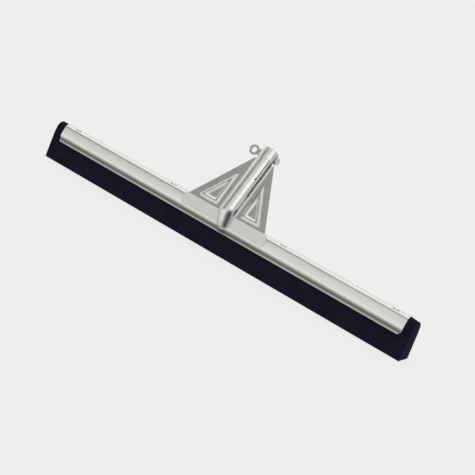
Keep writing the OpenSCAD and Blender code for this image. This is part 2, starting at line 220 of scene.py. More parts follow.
def shifted(path: Array, distance: float) -> Array:
    """Moves an open path sideways, with mitred corners.

    Args:
        path: the path, one point a row.
        distance: how far it moves to the right of its run.

    Returns:
        The moved path.
    """
    runs = np.diff(path, axis=0)
    runs /= np.linalg.norm(runs, axis=1)[:, None]
    sides = np.column_stack([runs[:, 1], -runs[:, 0]])
    before, after = np.vstack([sides[:1], sides]), np.vstack([sides, sides[-1:]])
    share = 1 + np.sum(before * after, axis=1)
    return path + distance * (before + after) / share[:, None]


def respaced(path: Array, count: int) -> Array:
    """Points at equal steps along a path."""
    lengths = np.concatenate([[0], np.cumsum(np.linalg.norm(np.diff(path, axis=0), axis=1))])
    places = np.linspace(0, lengths[-1], count)
    return np.column_stack([np.interp(places, lengths, path[:, i]) for i in range(path.shape[1])])


def linked(name: str, data: bpy.types.ID) -> Object:
    """Makes an object of its data, and puts it in the scene."""
    obj = bpy.data.objects.new(name, data)
    bpy.context.scene.collection.objects.link(obj)
    return obj


def smooth_object(name: str, mesh: Mesh, sharp_angle: float) -> Object:
    """Links a mesh as a smooth object whose edges over an angle, in degrees, stay sharp."""
    mesh.polygons.foreach_set("use_smooth", [True] * len(mesh.polygons))
    mesh.set_sharp_from_angle(angle=radians(sharp_angle))
    return linked(name, mesh)


@contextmanager
def edited(mesh: Mesh) -> Iterator[bmesh.types.BMesh]:
    """Opens a mesh for changes, and writes them back."""
    work = bmesh.new()
    work.from_mesh(mesh)
    yield work
    work.to_mesh(mesh)
    work.free()


class Shell:
    """Collects grids and caps of one piece, in millimetres, and makes its mesh."""

    def __init__(self) -> None:
        """Starts with no points."""
        self.points: list[Array] = []
        self.faces: list[tuple[int, ...]] = []

    def grid(self, points: Array, closed_rows: bool = False, closed_columns: bool = False) -> None:
        """Adds a grid of points with quads between them.

        Args:
            points: the points, shaped rows by columns by 3.
            closed_rows: joins the last row to the first.
            closed_columns: joins the last column to the first.
        """
        rows, columns = points.shape[:2]
        first = len(self.points)
        for row in range(rows if closed_rows else rows - 1):
            here, there = first + row * columns, first + (row + 1) % rows * columns
            for column in range(columns if closed_columns else columns - 1):
                beside = (column + 1) % columns
                self.faces.append((here + column, here + beside, there + beside, there + column))
        self.points += list(points.reshape(-1, 3))

    def cap(self, points: Array) -> None:
        """Adds one flat face through the points."""
        self.faces.append(tuple(range(len(self.points), len(self.points) + len(points))))
        self.points += list(points)

    def tube(self, rings: Array) -> None:
        """Adds closed rings one after the other, with a cap at each end."""
        self.grid(rings, closed_columns=True)
        self.cap(rings[0])
        self.cap(rings[-1])

    def piece(self, name: str, sharp_angle: float = SHARP_ANGLE, closed: bool = True) -> Object:
        """Makes the object, with doubles merged.

        Args:
            name: the piece's name.
            sharp_angle: edges over this angle, in degrees, stay sharp.
            closed: turns the faces of a closed surface outwards.

        Returns:
            The new object, at the origin.
        """
        mesh = bpy.data.meshes.new(name)
        mesh.from_pydata([tuple(p * MM) for p in self.points], [], self.faces)
        with edited(mesh) as work:
            bmesh.ops.remove_doubles(work, verts=work.verts, dist=0.002 * MM)
            bmesh.ops.dissolve_degenerate(work, edges=work.edges, dist=0.001 * MM)
            if closed:
                bmesh.ops.recalc_face_normals(work, faces=work.faces)
        return smooth_object(name, mesh, sharp_angle)


def tube_piece(name: str, rings: Sequence) -> Object:
    """Makes a closed piece of rings, capped at both ends."""
    shell = Shell()
    shell.tube(np.array(rings))
    return shell.piece(name)


def baked(obj: Object, sharp_angle: float = SHARP_ANGLE) -> Object:
    """Turns an object with its modifiers into a plain mesh object of the same name.

    Args:
        obj: a mesh or curve object with modifiers, which is removed.
        sharp_angle: edges over this angle, in degrees, stay sharp.

    Returns:
        The new object.
    """
    name = obj.name
    graph = bpy.context.evaluated_depsgraph_get()
    mesh = bpy.data.meshes.new_from_object(obj.evaluated_get(graph), depsgraph=graph)
    obj.modifiers.clear()
    bpy.data.objects.remove(obj)
    mesh.name = name
    return smooth_object(name, mesh, sharp_angle)


def less(obj: Object, tool: Object) -> Object:
    """Cuts a tool's body out of a closed piece, and removes the tool."""
    cut = obj.modifiers.new("cut", "BOOLEAN")
    cut.operation, cut.solver, cut.object = "DIFFERENCE", "EXACT", tool
    made = baked(obj)
    bpy.data.objects.remove(tool)
    return made


def drilled(obj: Object, axes: Sequence[Axis], radius: float, steps: int = 32) -> Object:
    """Cuts round holes through a piece.

    Args:
        obj: the closed piece.
        axes: the two ends of each hole's axis, in millimetres.
        radius: the holes' radius in millimetres.
        steps: sides of a hole.

    Returns:
        The piece with its holes.
    """
    tool = Shell()
    for start, end in axes:
        axis = unit(end - start)
        across = unit(np.cross(axis, NO_HOLES_AXIS))
        beside = np.cross(axis, across)
        ring = np.array([radius * (cos(a) * across + sin(a) * beside) for a in full_turn(steps)])
        tool.tube(np.array([start + ring, end + ring]))
    return less(obj, tool.piece("drill"))


def store_painted_light(obj: Object, share_at: Callable[[Array], Array]) -> None:
    """Stores on each point how much painted shade lies there, or how much painted highlight.

    Args:
        obj: the finished mesh object.
        share_at: gives a share from -1, painted highlight, to 1, painted shade, for each row of places in millimetres.
    """
    mesh = obj.data
    places = np.empty(len(mesh.vertices) * 3)
    mesh.vertices.foreach_get("co", places)
    layer = mesh.attributes.new(PAINTED_LIGHT_ATTRIBUTE, "FLOAT", "POINT")
    layer.data.foreach_set("value", np.clip(share_at(places.reshape(-1, 3) / MM), -1, 1).astype(np.float32))


# Where things stand


@dataclass(frozen=True)
class Plate:
    """The front face of a flat plate: a point on it, and its tilt to the rear in degrees."""

    origin: Array
    tilt: float

    @property
    def up(self) -> Array:
        """Direction up the plate."""
        return np.array([0.0, sin(radians(self.tilt)), cos(radians(self.tilt))])

    @property
    def out(self) -> Array:
        """Direction out of the plate, to the front."""
        return np.array([0.0, -cos(radians(self.tilt)), sin(radians(self.tilt))])

    def at(self, x: float, up: float, out: float) -> Array:
        """A point from its place on the plate."""
        return self.origin + x * X_AXIS + up * self.up + out * self.out


@dataclass(frozen=True)
class Layout:
    """The sizes that several pieces share, in millimetres, and the places that follow from them."""

    blade_l: float
    channel_l: float
    shift_y: float
    blade_h: float = 67.0
    blade_w: float = 33.6
    sheet_t: float = 1.0
    rubber_fit: float = 0.05
    crown_r: float = 13.0
    crown_angle: float = 47.0
    face_tilt: float = 19.0
    plate_t: float = 1.5
    wing_tilt: float = 33.0
    fold_rise: float = 5.9
    socket_l: float = 130.5
    axis_out: float = 2.4
    bore_r: float = 12.2
    socket_t: float = 1.2
    collar_t: float = 1.2
    collar_h: float = 19.0
    collar_drop: float = 2.0
    wing_gap: float = 1.0
    seam_angle: float = 87.0
    slit_angle: float = 57.0
    screw_back: float = 5.2
    screw_drop: float = 10.2
    spoon_l: float = 16.5
    spoon_r: float = 10.0
    spoon_swing: float = 14.0

    @classmethod
    def of_frame(cls) -> "Layout":
        """Reads the lengths and the blade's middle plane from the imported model."""
        low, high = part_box("rubber_blade")
        channel_low, channel_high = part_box("channel")
        return cls((high.x - low.x) / MM, (channel_high.x - channel_low.x) / MM, (high.y + low.y) / 2 / MM)

    @property
    def crown_z(self) -> float:
        """Height of the crown's centre."""
        return self.blade_h + self.rubber_fit + self.sheet_t - self.crown_r

    @property
    def crease(self) -> Array:
        """Crease of the channel's front, as y from the blade's middle and z."""
        angle = radians(self.crown_angle)
        return np.array([-self.crown_r * sin(angle), self.crown_z + self.crown_r * cos(angle)])

    @property
    def fold(self) -> Array:
        """Middle of the bracket's fold line on its front face."""
        tilt = radians(self.face_tilt)
        y = self.crease[0] + self.fold_rise * tan(tilt) - self.plate_t / cos(tilt)
        return np.array([0.0, y + self.shift_y, self.crease[1] + self.fold_rise])

    @property
    def wing(self) -> Plate:
        """Front face of the wings."""
        return Plate(self.fold, self.wing_tilt)

    @property
    def flange(self) -> Plate:
        """Front face of the flange."""
        return Plate(self.fold, self.face_tilt)

    @property
    def foot(self) -> Array:
        """Point of the socket's axis level with the fold."""
        return self.wing.at(0, 0, self.axis_out)

    @property
    def socket_r(self) -> float:
        """Outer radius of the socket."""
        return self.bore_r + self.socket_t

    @property
    def collar_r(self) -> float:
        """Outer radius of the mouth collar."""
        return self.socket_r + self.collar_t

    @property
    def collar_top(self) -> float:
        """Distance from the fold to the collar's top."""
        return self.socket_l - self.collar_drop

    @property
    def wing_l(self) -> float:
        """Length of the wings up from the fold."""
        return self.collar_top - self.collar_h - self.wing_gap

    @property
    def spoon_run(self) -> Array:
        """Direction down the spoon."""
        swing = radians(self.spoon_swing)
        return sin(swing) * X_AXIS - cos(swing) * self.flange.up

    def facing(self, run: Array) -> Axis:
        """Directions to the front and to the right of a run down the socket."""
        front = unit(self.wing.out - (self.wing.out @ run) * run)
        side = np.cross(run, front)
        return front, side * np.sign(side @ X_AXIS)

    def on_socket(self, angle: float, up: float, radius: float) -> Array:
        """A point from its angle round the socket, 0 in front and 90 at +X, in degrees."""
        turn = radians(angle)
        return self.wing.at(radius * sin(turn), up, self.axis_out + radius * cos(turn))

    def on_screw(self, x: float, up: float, out: float) -> Array:
        """A point from its place about the ring screw's axis."""
        return self.wing.at(x, self.socket_l - self.screw_drop + up, self.axis_out - self.screw_back + out)

    def round_screw(self, x: float, radius: float, turn: float) -> Array:
        """A point from its radius and its angle, in radians, about the ring screw's axis."""
        return self.on_screw(x, radius * cos(turn), radius * sin(turn))

    def cross_hole(self) -> Axis:
        """Ends of the ring screw's axis, well past the socket."""
        return self.on_screw(-40, 0, 0), self.on_screw(40, 0, 0)


# Finishes


class Grain(Enum):
    """Which way the marks of rolling and drawing run."""

    ALONG_BLADE = "along the blade"
    UP_BRACKET = "up the wings and the socket"
    NONE = "no direction"


@dataclass(frozen=True)
class Finish:
    """A finish whose surface is worked out from the place on the piece, in metres."""

    name: str

    def surface(self, tree: NodeTree, place: NodeSocket) -> dict:
        """Values and sockets of the surface.

        Args:
            tree: the material's tree.
            place: the place on the piece.

        Returns:
            The inputs of the Principled node, by their names.
        """
        raise NotImplementedError

    def material(self) -> Material:
        """Makes the material."""
        material = bpy.data.materials.new(self.name)
        tree = empty_tree(material)
        inputs = self.surface(tree, output_of(tree, "ShaderNodeTexCoord", output="Object"))
        surface = output_of(tree, "ShaderNodeBsdfPrincipled", inputs)
        add_node(tree, "ShaderNodeOutputMaterial", {"Surface": surface})
        return material


@dataclass(frozen=True)
class ZincSheet(Finish):
    """Zinc-plated steel: satin metal with faint streaks of rolling and cloudy patches of zinc.

    A piece can store a share of painted shade, from 0 to 1, which darkens the colour where shade and dark reflections
    fall. Shares down to -1 are painted highlights, which lighten the colour on bright bends.

    The streaks are a few tenths of a millimetre wide on the real sheet. They are drawn about 1 mm
    wide, because finer ones wouldn't show in the render.
    """

    light: str
    dark: str
    roughness: float
    grain: Grain
    streak_l_mm: float = 60.0
    streak_w_mm: float = 1.1
    cloud_mm: float = 14.0
    streak_part: float = 0.55
    tone_span: tuple[float, float] = (0.36, 0.64)
    lean_deg: float = 33.0
    relief: float = 0.2
    relief_mm: float = 0.03
    cloud_sheen: float = 0.03
    # Colour of the painted shade and dark reflections; the painted highlight's colour and the painted shade's roughness
    # follow
    painted_light: Optional[str] = None
    painted_shade_roughness: float = 0.5
    painted_highlight_colour: str = "#fafaf8"

    def surface(self, tree: NodeTree, place: NodeSocket) -> dict:
        """Streaks and clouds in the colour, clouds in the sheen, streaks in the relief, and painted shade and painted
        highlights over them.

        Args:
            tree: the material's tree.
            place: the place on the piece.

        Returns:
            The inputs of the Principled node, by their names.
        """
        if self.grain is Grain.UP_BRACKET:
            lean = (radians(self.lean_deg), 0.0, 0.0)
            place = output_of(tree, "ShaderNodeMapping", {"Vector": place, "Rotation": lean})
        long, wide = 1 / (self.streak_l_mm * MM), 1 / (self.streak_w_mm * MM)
        stretch = {
            Grain.ALONG_BLADE: (long, wide, wide),
            Grain.UP_BRACKET: (wide, wide, long),
            Grain.NONE: (wide, wide, wide),
        }[self.grain]
        streaks = noise_of(
            tree, output_of(tree, "ShaderNodeMapping", {"Vector": place, "Scale": stretch}), 1.0, 3.0, 0.6
        )
        clouds = noise_of(tree, place, 1 / (self.cloud_mm * MM), 4.0, 0.55)
        parts = times(tree, streaks, self.streak_part), times(tree, clouds, 1 - self.streak_part)
        colour = tinted(tree, ranged(tree, math_of(tree, "ADD", *parts), self.tone_span), self.dark, self.light)
        sheens = self.roughness - self.cloud_sheen, self.roughness + self.cloud_sheen
        sheen = ranged(tree, clouds, (0.3, 0.7), sheens)
        # Painted shade darkens the colour and painted highlight lightens it, by the share stored on each point
        if self.painted_light:
            share = output_of(tree, "ShaderNodeAttribute", output="Fac", attribute_name=PAINTED_LIGHT_ATTRIBUTE)
            colour = tinted(tree, share, colour, self.painted_light)
            colour = tinted(tree, times(tree, share, -1.0), colour, self.painted_highlight_colour)
            sheen = output_of(
                tree, "ShaderNodeMix", {"Factor": share, 2: sheen, 3: self.painted_shade_roughness}, data_type="FLOAT"
            )
        relief = bumped(tree, streaks, self.relief, self.relief_mm)
        return {"Base Color": colour, "Metallic": 1.0, "Roughness": sheen, "Normal": relief}


@dataclass(frozen=True)
class FoamRubber(Finish):
    """Black moulded foam rubber: a matt closed skin with fine pores and a faint violet bloom.

    The pores of the real skin are about 0.2 mm. They are drawn 0.9 mm wide, because finer ones
    wouldn't show in the render.
    """

    name: str = "moulded_foam_rubber"
    skin: str = "#181323"
    bloom: str = "#1f192a"
    pore_mm: float = 0.9
    pore_depth_mm: float = 0.15
    bloom_mm: float = 30.0
    roughness: float = 0.62

    def surface(self, tree: NodeTree, place: NodeSocket) -> dict:
        """Bloom in the colour and the sheen, and pores in the relief.

        Args:
            tree: the material's tree.
            place: the place on the piece.

        Returns:
            The inputs of the Principled node, by their names.
        """
        bloom = noise_of(tree, place, 1 / (self.bloom_mm * MM), 5.0)
        pores = output_of(
            tree, "ShaderNodeTexVoronoi", {"Vector": place, "Scale": 1 / (self.pore_mm * MM)}, "Distance"
        )
        colour = tinted(tree, ranged(tree, bloom, (0.35, 0.68)), self.skin, self.bloom)
        sheen = ranged(tree, bloom, (0.3, 0.7), (self.roughness - 0.05, self.roughness + 0.1))
        relief = bumped(tree, pores, 0.5, self.pore_depth_mm)
        return {"Base Color": colour, "Roughness": sheen, "IOR": 1.52, "Specular IOR Level": 0.02, "Normal": relief}


# Sub-assemblies


@dataclass
class Part:
    """A sub-assembly: where it stands, and its pieces' body, slot and finish."""

    layout: Layout
    body: ClassVar[str] = FRAME_BODY
    slot: ClassVar[str] = "plated_hardware"
    finish: ClassVar[Finish]

    def dress(self, obj: Object, nodes: Sequence[str], material: Optional[Material] = None) -> None:
        """Gives a finished piece its material and body, and hides the nodes that it stands for.

        Args:
            obj: the finished mesh object.
            nodes: names of the nodes that the piece replaces, none for one that adds to another piece.
            material: the finish's material, where the part has made it before.
        """
        material = material or self.finish.material()
        obj.data.materials.clear()
        obj.data.materials.append(material)
        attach(obj, self.body)
        if nodes:
            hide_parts(*nodes)
        triangles = sum(len(p.vertices) - 2 for p in obj.data.polygons)
        LOG.info("%s: %d triangles, %s, stands for %s", obj.name, triangles, material.name, ", ".join(nodes))


@dataclass
class GeometryRecipe:
    """A geometry tree with named inputs and the values that it runs with."""

    name: str
    inputs: dict[str, object]

    def __post_init__(self) -> None:
        """Makes the tree with its geometry and named inputs."""
        self.tree = bpy.data.node_groups.new(self.name, "GeometryNodeTree")
        sockets = self.tree.interface
        sockets.new_socket("Geometry", in_out="INPUT", socket_type="NodeSocketGeometry")
        self.identifiers = {}
        for name, value in self.inputs.items():
            kind = next(kind for python_type, kind in SOCKET_KINDS if isinstance(value, python_type))
            self.identifiers[name] = sockets.new_socket(name, in_out="INPUT", socket_type=kind).identifier
        sockets.new_socket("Geometry", in_out="OUTPUT", socket_type="NodeSocketGeometry")
        self.given = add_node(self.tree, "NodeGroupInput").outputs

    def end(self, geometry: NodeSocket) -> None:
        """Ends the tree: real geometry with its finish."""
        real = output_of(self.tree, "GeometryNodeRealizeInstances", {"Geometry": geometry})
        finish = {"Geometry": real, "Material": self.given["Finish"]}
        add_node(self.tree, "NodeGroupOutput", {"Geometry": output_of(self.tree, "GeometryNodeSetMaterial", finish)})

    def run(self, points: Array, closed: bool, sharp_angle: float = SHARP_ANGLE) -> Object:
        """Runs the tree on a poly curve.

        Args:
            points: the curve's points, in millimetres.
            closed: joins the curve's last point to its first.
            sharp_angle: edges over this angle, in degrees, stay sharp.

        Returns:
            The plain mesh object, named after the tree.
        """
        curve = bpy.data.curves.new(self.name, "CURVE")
        curve.dimensions = "3D"
        spline = curve.splines.new("POLY")
        spline.points.add(len(points) - 1)
        for point, place in zip(spline.points, points):
            point.co = (*(np.array(place) * MM), 1.0)
        spline.use_cyclic_u = closed
        carrier = linked(self.name, curve)
        modifier = carrier.modifiers.new(self.name, "NODES")
        modifier.node_group = self.tree
        for name, value in self.inputs.items():
            modifier[self.identifiers[name]] = value
        return baked(carrier, sharp_angle)


@dataclass
class FoldedChannel(Part):
    """The rolled and folded strip of sheet round the rubber."""

    slot: ClassVar[str] = "rolled_channel"
    face_w: float = 16.5
    pinch_h: float = 7.0
    pinch_in: float = 2.0
    lip_h: float = 3.4
    lip_out: float = 5.4
    edge_r: float = 2.2
    pinch_r: float = 1.4
    crease_depth: float = 0.6
    crease_half_w: float = 1.2
    crease_r: float = 0.7
    end_corner_r: float = 4.5
    rim_r: float = 0.3
    stations: int = 151
    hole_r: float = 1.7
    # Shares of painted shade on the pinch wall, the lip, the face and in the crease, and of painted highlight on the
    # edge bend
    wall_painted_shade: float = 0.45
    lip_painted_shade: float = 0.55
    face_painted_shade: float = 0.3
    crease_painted_shade: float = 0.85
    bend_painted_highlight: float = 0.8
    # Its dark colour is the painted shade, mixed in by the share stored on each point
    finish: ClassVar[Finish] = ZincSheet("rolled_zinc_plated_sheet", "#dddeda", "#d2d3cf", 0.28, Grain.ALONG_BLADE,
                                         painted_light="#83837d")

    def front(self) -> Array:
        """Outer surface from the front lip to the crown's top, as y and z."""
        lay = self.layout
        tilt = radians(lay.face_tilt)
        down, out = np.array([-sin(tilt), -cos(tilt)]), np.array([-cos(tilt), sin(tilt)])
        edge = lay.crease + self.face_w * down
        pinch = edge + [self.pinch_in, -self.pinch_h]
        lip = pinch + [-self.lip_out, -self.lip_h]
        step = degrees(self.crease_half_w / lay.crown_r)
        crown = arc_points((0, lay.crown_z), lay.crown_r, 90 + lay.crown_angle - step, 90, 24)
        corners = [lip, pinch, edge, lay.crease + self.crease_half_w * down, lay.crease - self.crease_depth * out]
        radii = [0, self.pinch_r, self.edge_r, self.crease_r, self.crease_r, 0]
        return np.vstack([rounded([*corners, crown[0]], radii, 8)[:-1], crown])

    def section(self) -> Array:
        """Closed outline of the sheet, as y and z."""
        outer = mirrored(self.front())
        inner = shifted(outer, self.layout.sheet_t)
        start = rounded([inner[1], inner[0], outer[0], outer[1]], [0, self.rim_r, self.rim_r, 0], 3)[1:-1]
        return np.vstack([start, outer[1:-1], start[::-1] * [-1, 1], inner[-2:0:-1]])

    def recipe(self, material: Material) -> GeometryRecipe:
        """The tree that sweeps the section along the blade and rounds the lips' ends.

        Args:
            material: the finish's material.

        Returns:
            The recipe, to be run on the section's curve.
        """
        made = GeometryRecipe("folded_channel", {
            "Length": self.layout.channel_l * MM,
            "Stations": self.stations,
            "Lip Height": float(self.front()[0][1]) * MM,
            "Corner Radius": self.end_corner_r * MM,
            "Finish": material,
        })
        tree, given = made.tree, made.given
        half, minus = times(tree, given["Length"], 0.5), times(tree, given["Length"], -0.5)
        line = {"Start": along_x(tree, minus), "End": along_x(tree, half)}
        path = {"Curve": output_of(tree, "GeometryNodeCurvePrimitiveLine", line), "Count": given["Stations"]}
        sheet = swept(tree, output_of(tree, "GeometryNodeResampleCurve", path), given["Geometry"])
        place = output_of(tree, "GeometryNodeInputPosition")
        x, _, z = add_node(tree, "ShaderNodeSeparateXYZ", {"Vector": place}).outputs
        radius = given["Corner Radius"]
        below = math_of(tree, "SUBTRACT", math_of(tree, "ADD", given["Lip Height"], radius), z)
        share = output_of(tree, "ShaderNodeMath", {0: below, 1: radius}, operation="DIVIDE", use_clamp=True)
        chord = math_of(tree, "SQRT", math_of(tree, "SUBTRACT", 1.0, times(tree, share, share)))
        inset = times(tree, radius, math_of(tree, "SUBTRACT", 1.0, chord))
        reach = math_of(tree, "SUBTRACT", half, times(tree, radius, 3.0))
        nearness = ranged(tree, math_of(tree, "ABSOLUTE", x), (reach, half))
        moved = times(tree, times(tree, inset, nearness), -1.0)
        offset = along_x(tree, times(tree, moved, math_of(tree, "SIGN", x)))
        made.end(output_of(tree, "GeometryNodeSetPosition", {"Geometry": sheet, "Offset": offset}))
        return made

    def painted_light_share(self, points: Array) -> Array:
        """Painted shade in the crease and the pinch, a thin painted shade down the face, and a painted highlight on the
        edge bend.

        Bare numbers are millimetres up from the edge, or the widths over which a share eases.

        Args:
            points: places on the piece, one a row.

        Returns:
            A share from -1 to 1 for each place.
        """
        lay = self.layout
        edge_z = lay.crease[1] - self.face_w * cos(radians(lay.face_tilt))
        across, up = np.abs(points[:, 1] - lay.shift_y), points[:, 2] - edge_z
        # Painted shade and dark reflection on the pinch wall and the upper lip, which face the ground below
        lip = smooth_step((up + self.pinch_h + 2.5) / 0.7)
        wall = smooth_step((-1.4 - up) / 1.2) * (self.wall_painted_shade + self.lip_painted_shade * lip)
        wall *= 0.5 + 0.5 * smooth_step(-up / self.pinch_h)
        # A thin painted shade down the face, darkest just above the edge bend
        face = self.face_painted_shade * smooth_step((up - 1.0) / 1.2)
        face *= (1 - 0.8 * smooth_step(up / 15)) * smooth_step(17 - up)
        # Painted shade in the crease under the crown
        from_crease = np.hypot(across - abs(lay.crease[0]), points[:, 2] - lay.crease[1])
        crease = self.crease_painted_shade * smooth_step((1.25 - from_crease) / 0.8)
        # Painted highlight along the edge bend
        bend = self.bend_painted_highlight * smooth_step(1 - np.abs(up - 0.2) / 1.1)
        return np.maximum(wall + face, crease) - bend * (up > -0.9)

    def build(self, staple_legs: Sequence[Axis]) -> None:
        """Makes the channel with the torn holes round the staples' legs.

        Args:
            staple_legs: the axis of each leg through the sheet.
        """
        material = self.finish.material()
        # A profile's own X and Y lie along -Y and -Z of a line that runs along X
        section = self.section()
        profile = np.column_stack([-section[:, 0], -section[:, 1], np.zeros(len(section))])
        sheet = self.recipe(material).run(profile, closed=True)
        sheet.data.transform(Matrix.Translation((0.0, self.layout.shift_y * MM, 0.0)))
        channel = drilled(sheet, staple_legs, self.hole_r, 20)
        # Stores the painted shade and painted highlight shares on the sheet
        store_painted_light(channel, self.painted_light_share)
        self.dress(channel, ["channel"], material)


@dataclass
class FoamBlade(Part):
    """The folded foam rubber: squeezed in the channel, swollen where it is free."""

    slot: ClassVar[str] = "foam_rubber"
    channel: FoldedChannel
    slit_foot_w: float = 2.4
    slit_top_w: float = 1.2
    pinch_steps: int = 5
    free_fold_r: float = 12.5
    free_half_w: float = 14.4
    free_half_z: float = 48.0
    free_side_r: float = 22.0
    edge_r: float = 0.9
    settle_l: float = 5.0
    right_sag: float = 1.4
    outline_points: int = 120
    finish: ClassVar[Finish] = FoamRubber()

    def gripped(self) -> Array:
        """Outline inside the channel, from the front foot over the fold to its top."""
        lay = self.layout
        inner = shifted(self.channel.front(), lay.sheet_t + lay.rubber_fit)[self.pinch_steps :]
        inner[-1][0] = 0.0
        return np.vstack([[-lay.blade_w / 2, 0.0], inner])

    def free(self) -> Array:
        """Outline past the channel, from the front foot over the fold to its top."""
        lay = self.layout
        head = arc_points((0, lay.blade_h - self.free_fold_r), self.free_fold_r, 160, 90, 24)
        corners = [(-lay.blade_w / 2, 0.0), (-self.free_half_w, self.free_half_z), head[0]]
        return np.vstack([rounded(corners, [0, self.free_side_r, 0], 8)[:-1], head])

    def ring(self, x: float, freedom: float, inset: float) -> Array:
        """One closed ring of the section.

        Args:
            x: place along the blade.
            freedom: 0 in the channel's grip, 1 where the rubber is free.
            inset: how far the ring draws in, for the rounded end edges.

        Returns:
            The ring's points.
        """
        lay, foot, foot_r = self.layout, self.slit_foot_w / 2, self.edge_r
        half, free = (respaced(outline, self.outline_points) for outline in (self.gripped(), self.free()))
        half = half + (free - half) * freedom
        outer = rounded([(-foot, 0.0), half[0], half[3]], [0, foot_r, 0], 4)
        half = np.vstack([outer[1:-1], half[3:]])
        half[:, 0] -= half[:, 0] * inset / (lay.blade_w / 2)
        sag = self.right_sag * max(2 * x - lay.channel_l, 0.0) / (lay.blade_l - lay.channel_l)
        half[:, 1] -= (inset + sag) * smooth_step((half[:, 1] - lay.crown_z) / self.free_fold_r)
        half[:, 1] += inset * (half[:, 1] < foot_r)
        top = arc_points((0, lay.crown_z), self.slit_top_w / 2, 0, 180, 8)
        slit = np.vstack([[foot + foot_r / 2, inset], [foot, foot_r / 2 + inset], top,
                          [-foot, foot_r / 2 + inset], [-foot - foot_r / 2, inset]])
        return np.array([[x, y + lay.shift_y, z] for y, z in np.vstack([mirrored(half), slit])])

    def build(self) -> None:
        """Makes the blade, from stations of a place, a freedom and an inset."""
        metal, end = self.layout.channel_l / 2, self.layout.blade_l / 2
        half = [(x, 0.0, 0.0) for x in np.linspace(0, metal - 12.0, 30)]
        half += [(metal - 6.0, 0.0, 0.0), (metal + 0.3, 0.1, 0.0)]
        for share in (0.2, 0.4, 0.6, 0.8, 1.0):
            half.append((metal + self.settle_l * share, 0.1 + 0.9 * float(smooth_step(share)), 0.0))
        for turn in np.radians([0, 22.5, 45, 67.5, 90]):
            half.append((end - self.edge_r * (1 - sin(turn)), 1.0, self.edge_r * (1 - cos(turn))))
        stations = [(-x, freedom, inset) for x, freedom, inset in half[:0:-1]] + half
        shell = Shell()
        shell.tube(np.array([self.ring(*station) for station in stations]))
        blade = shell.piece("foam_blade", sharp_angle=50)
        with edited(blade.data) as work:
            bmesh.ops.triangulate(work, faces=[f for f in work.faces if len(f.verts) > 4], ngon_method="EAR_CLIP")
        self.dress(blade, ["rubber_blade"])


@dataclass
class CrownStaples(Part):
    """Wire staples through the channel's crown into the rubber."""

    slot: ClassVar[str] = "zinc_wire"
    inner_x: float = 115.6
    end_x: float = 25.8
    wire_d: float = 1.2
    span: float = 8.0
    leg_l: float = 9.0
    lean: float = 20.0
    bend_r: float = 1.0
    finish: ClassVar[Finish] = ZincSheet("drawn_zinc_wire", "#f4f4f1", "#eaeae7", 0.45, Grain.NONE, streak_w_mm=0.8,
                                         cloud_mm=4.0)

    @property
    def outer_x(self) -> float:
        """Middle of the outer staples."""
        return self.layout.channel_l / 2 - self.end_x

    def leaned(self, x: float, reach: float) -> Array:
        """A point on the staple's plane, by its distance from the crown's middle line."""
        lay, lean = self.layout, radians(self.lean)
        return np.array([x, lay.shift_y - reach * sin(lean), lay.crown_z + reach * cos(lean)])

    def wire(self) -> Array:
        """Centre line of one staple at x 0, as x, y and z."""
        lay, half = self.layout, self.span / 2
        bar, foot = lay.crown_r + self.wire_d / 2, lay.blade_h - self.leg_l - lay.crown_z
        path = rounded([(-half, foot), (-half, bar), (half, bar), (half, foot)], [0, self.bend_r, self.bend_r, 0], 5)
        return np.array([self.leaned(x, reach) for x, reach in path])

    def legs(self) -> list[Axis]:
        """Axis of each leg where it goes through the sheet."""
        ends = self.layout.crown_r - 3, self.layout.crown_r + 3
        legs = [side * x + leg * self.span / 2 for side in (-1, 1) for x in (self.inner_x, self.outer_x)
                for leg in (-1, 1)]
        return [(self.leaned(x, ends[0]), self.leaned(x, ends[1])) for x in legs]

    def recipe(self, material: Material) -> GeometryRecipe:
        """The tree that sweeps the wire and sets it at the four places.

        Args:
            material: the finish's material.

        Returns:
            The recipe, to be run on the wire's curve.
        """
        made = GeometryRecipe("crown_staples", {
            "Wire Radius": self.wire_d / 2 * MM,
            "Inner Place": self.inner_x * MM,
            "Outer Place": self.outer_x * MM,
            "Finish": material,
        })
        tree, given = made.tree, made.given
        round_wire = {"Resolution": 16, "Radius": given["Wire Radius"]}
        wire = swept(tree, given["Geometry"], output_of(tree, "GeometryNodeCurvePrimitiveCircle", round_wire))
        places = add_node(tree, "GeometryNodeJoinGeometry")
        for place in (given["Inner Place"], given["Outer Place"]):
            # In this mode the Offset is the line's other end
            pair = {"Count": 2, "Start Location": along_x(tree, times(tree, place, -1.0)),
                    "Offset": along_x(tree, place)}
            tree.links.new(output_of(tree, "GeometryNodeMeshLine", pair, mode="END_POINTS"), places.inputs[0])
        copies = {"Points": places.outputs[0], "Instance": wire}
        made.end(output_of(tree, "GeometryNodeInstanceOnPoints", copies))
        return made

    def build(self) -> None:
        """Makes the four staples."""
        material = self.finish.material()
        staples = self.recipe(material).run(self.wire(), closed=False)
        self.dress(staples, [f"staple_{i}" for i in (1, 2, 3, 4)], material)


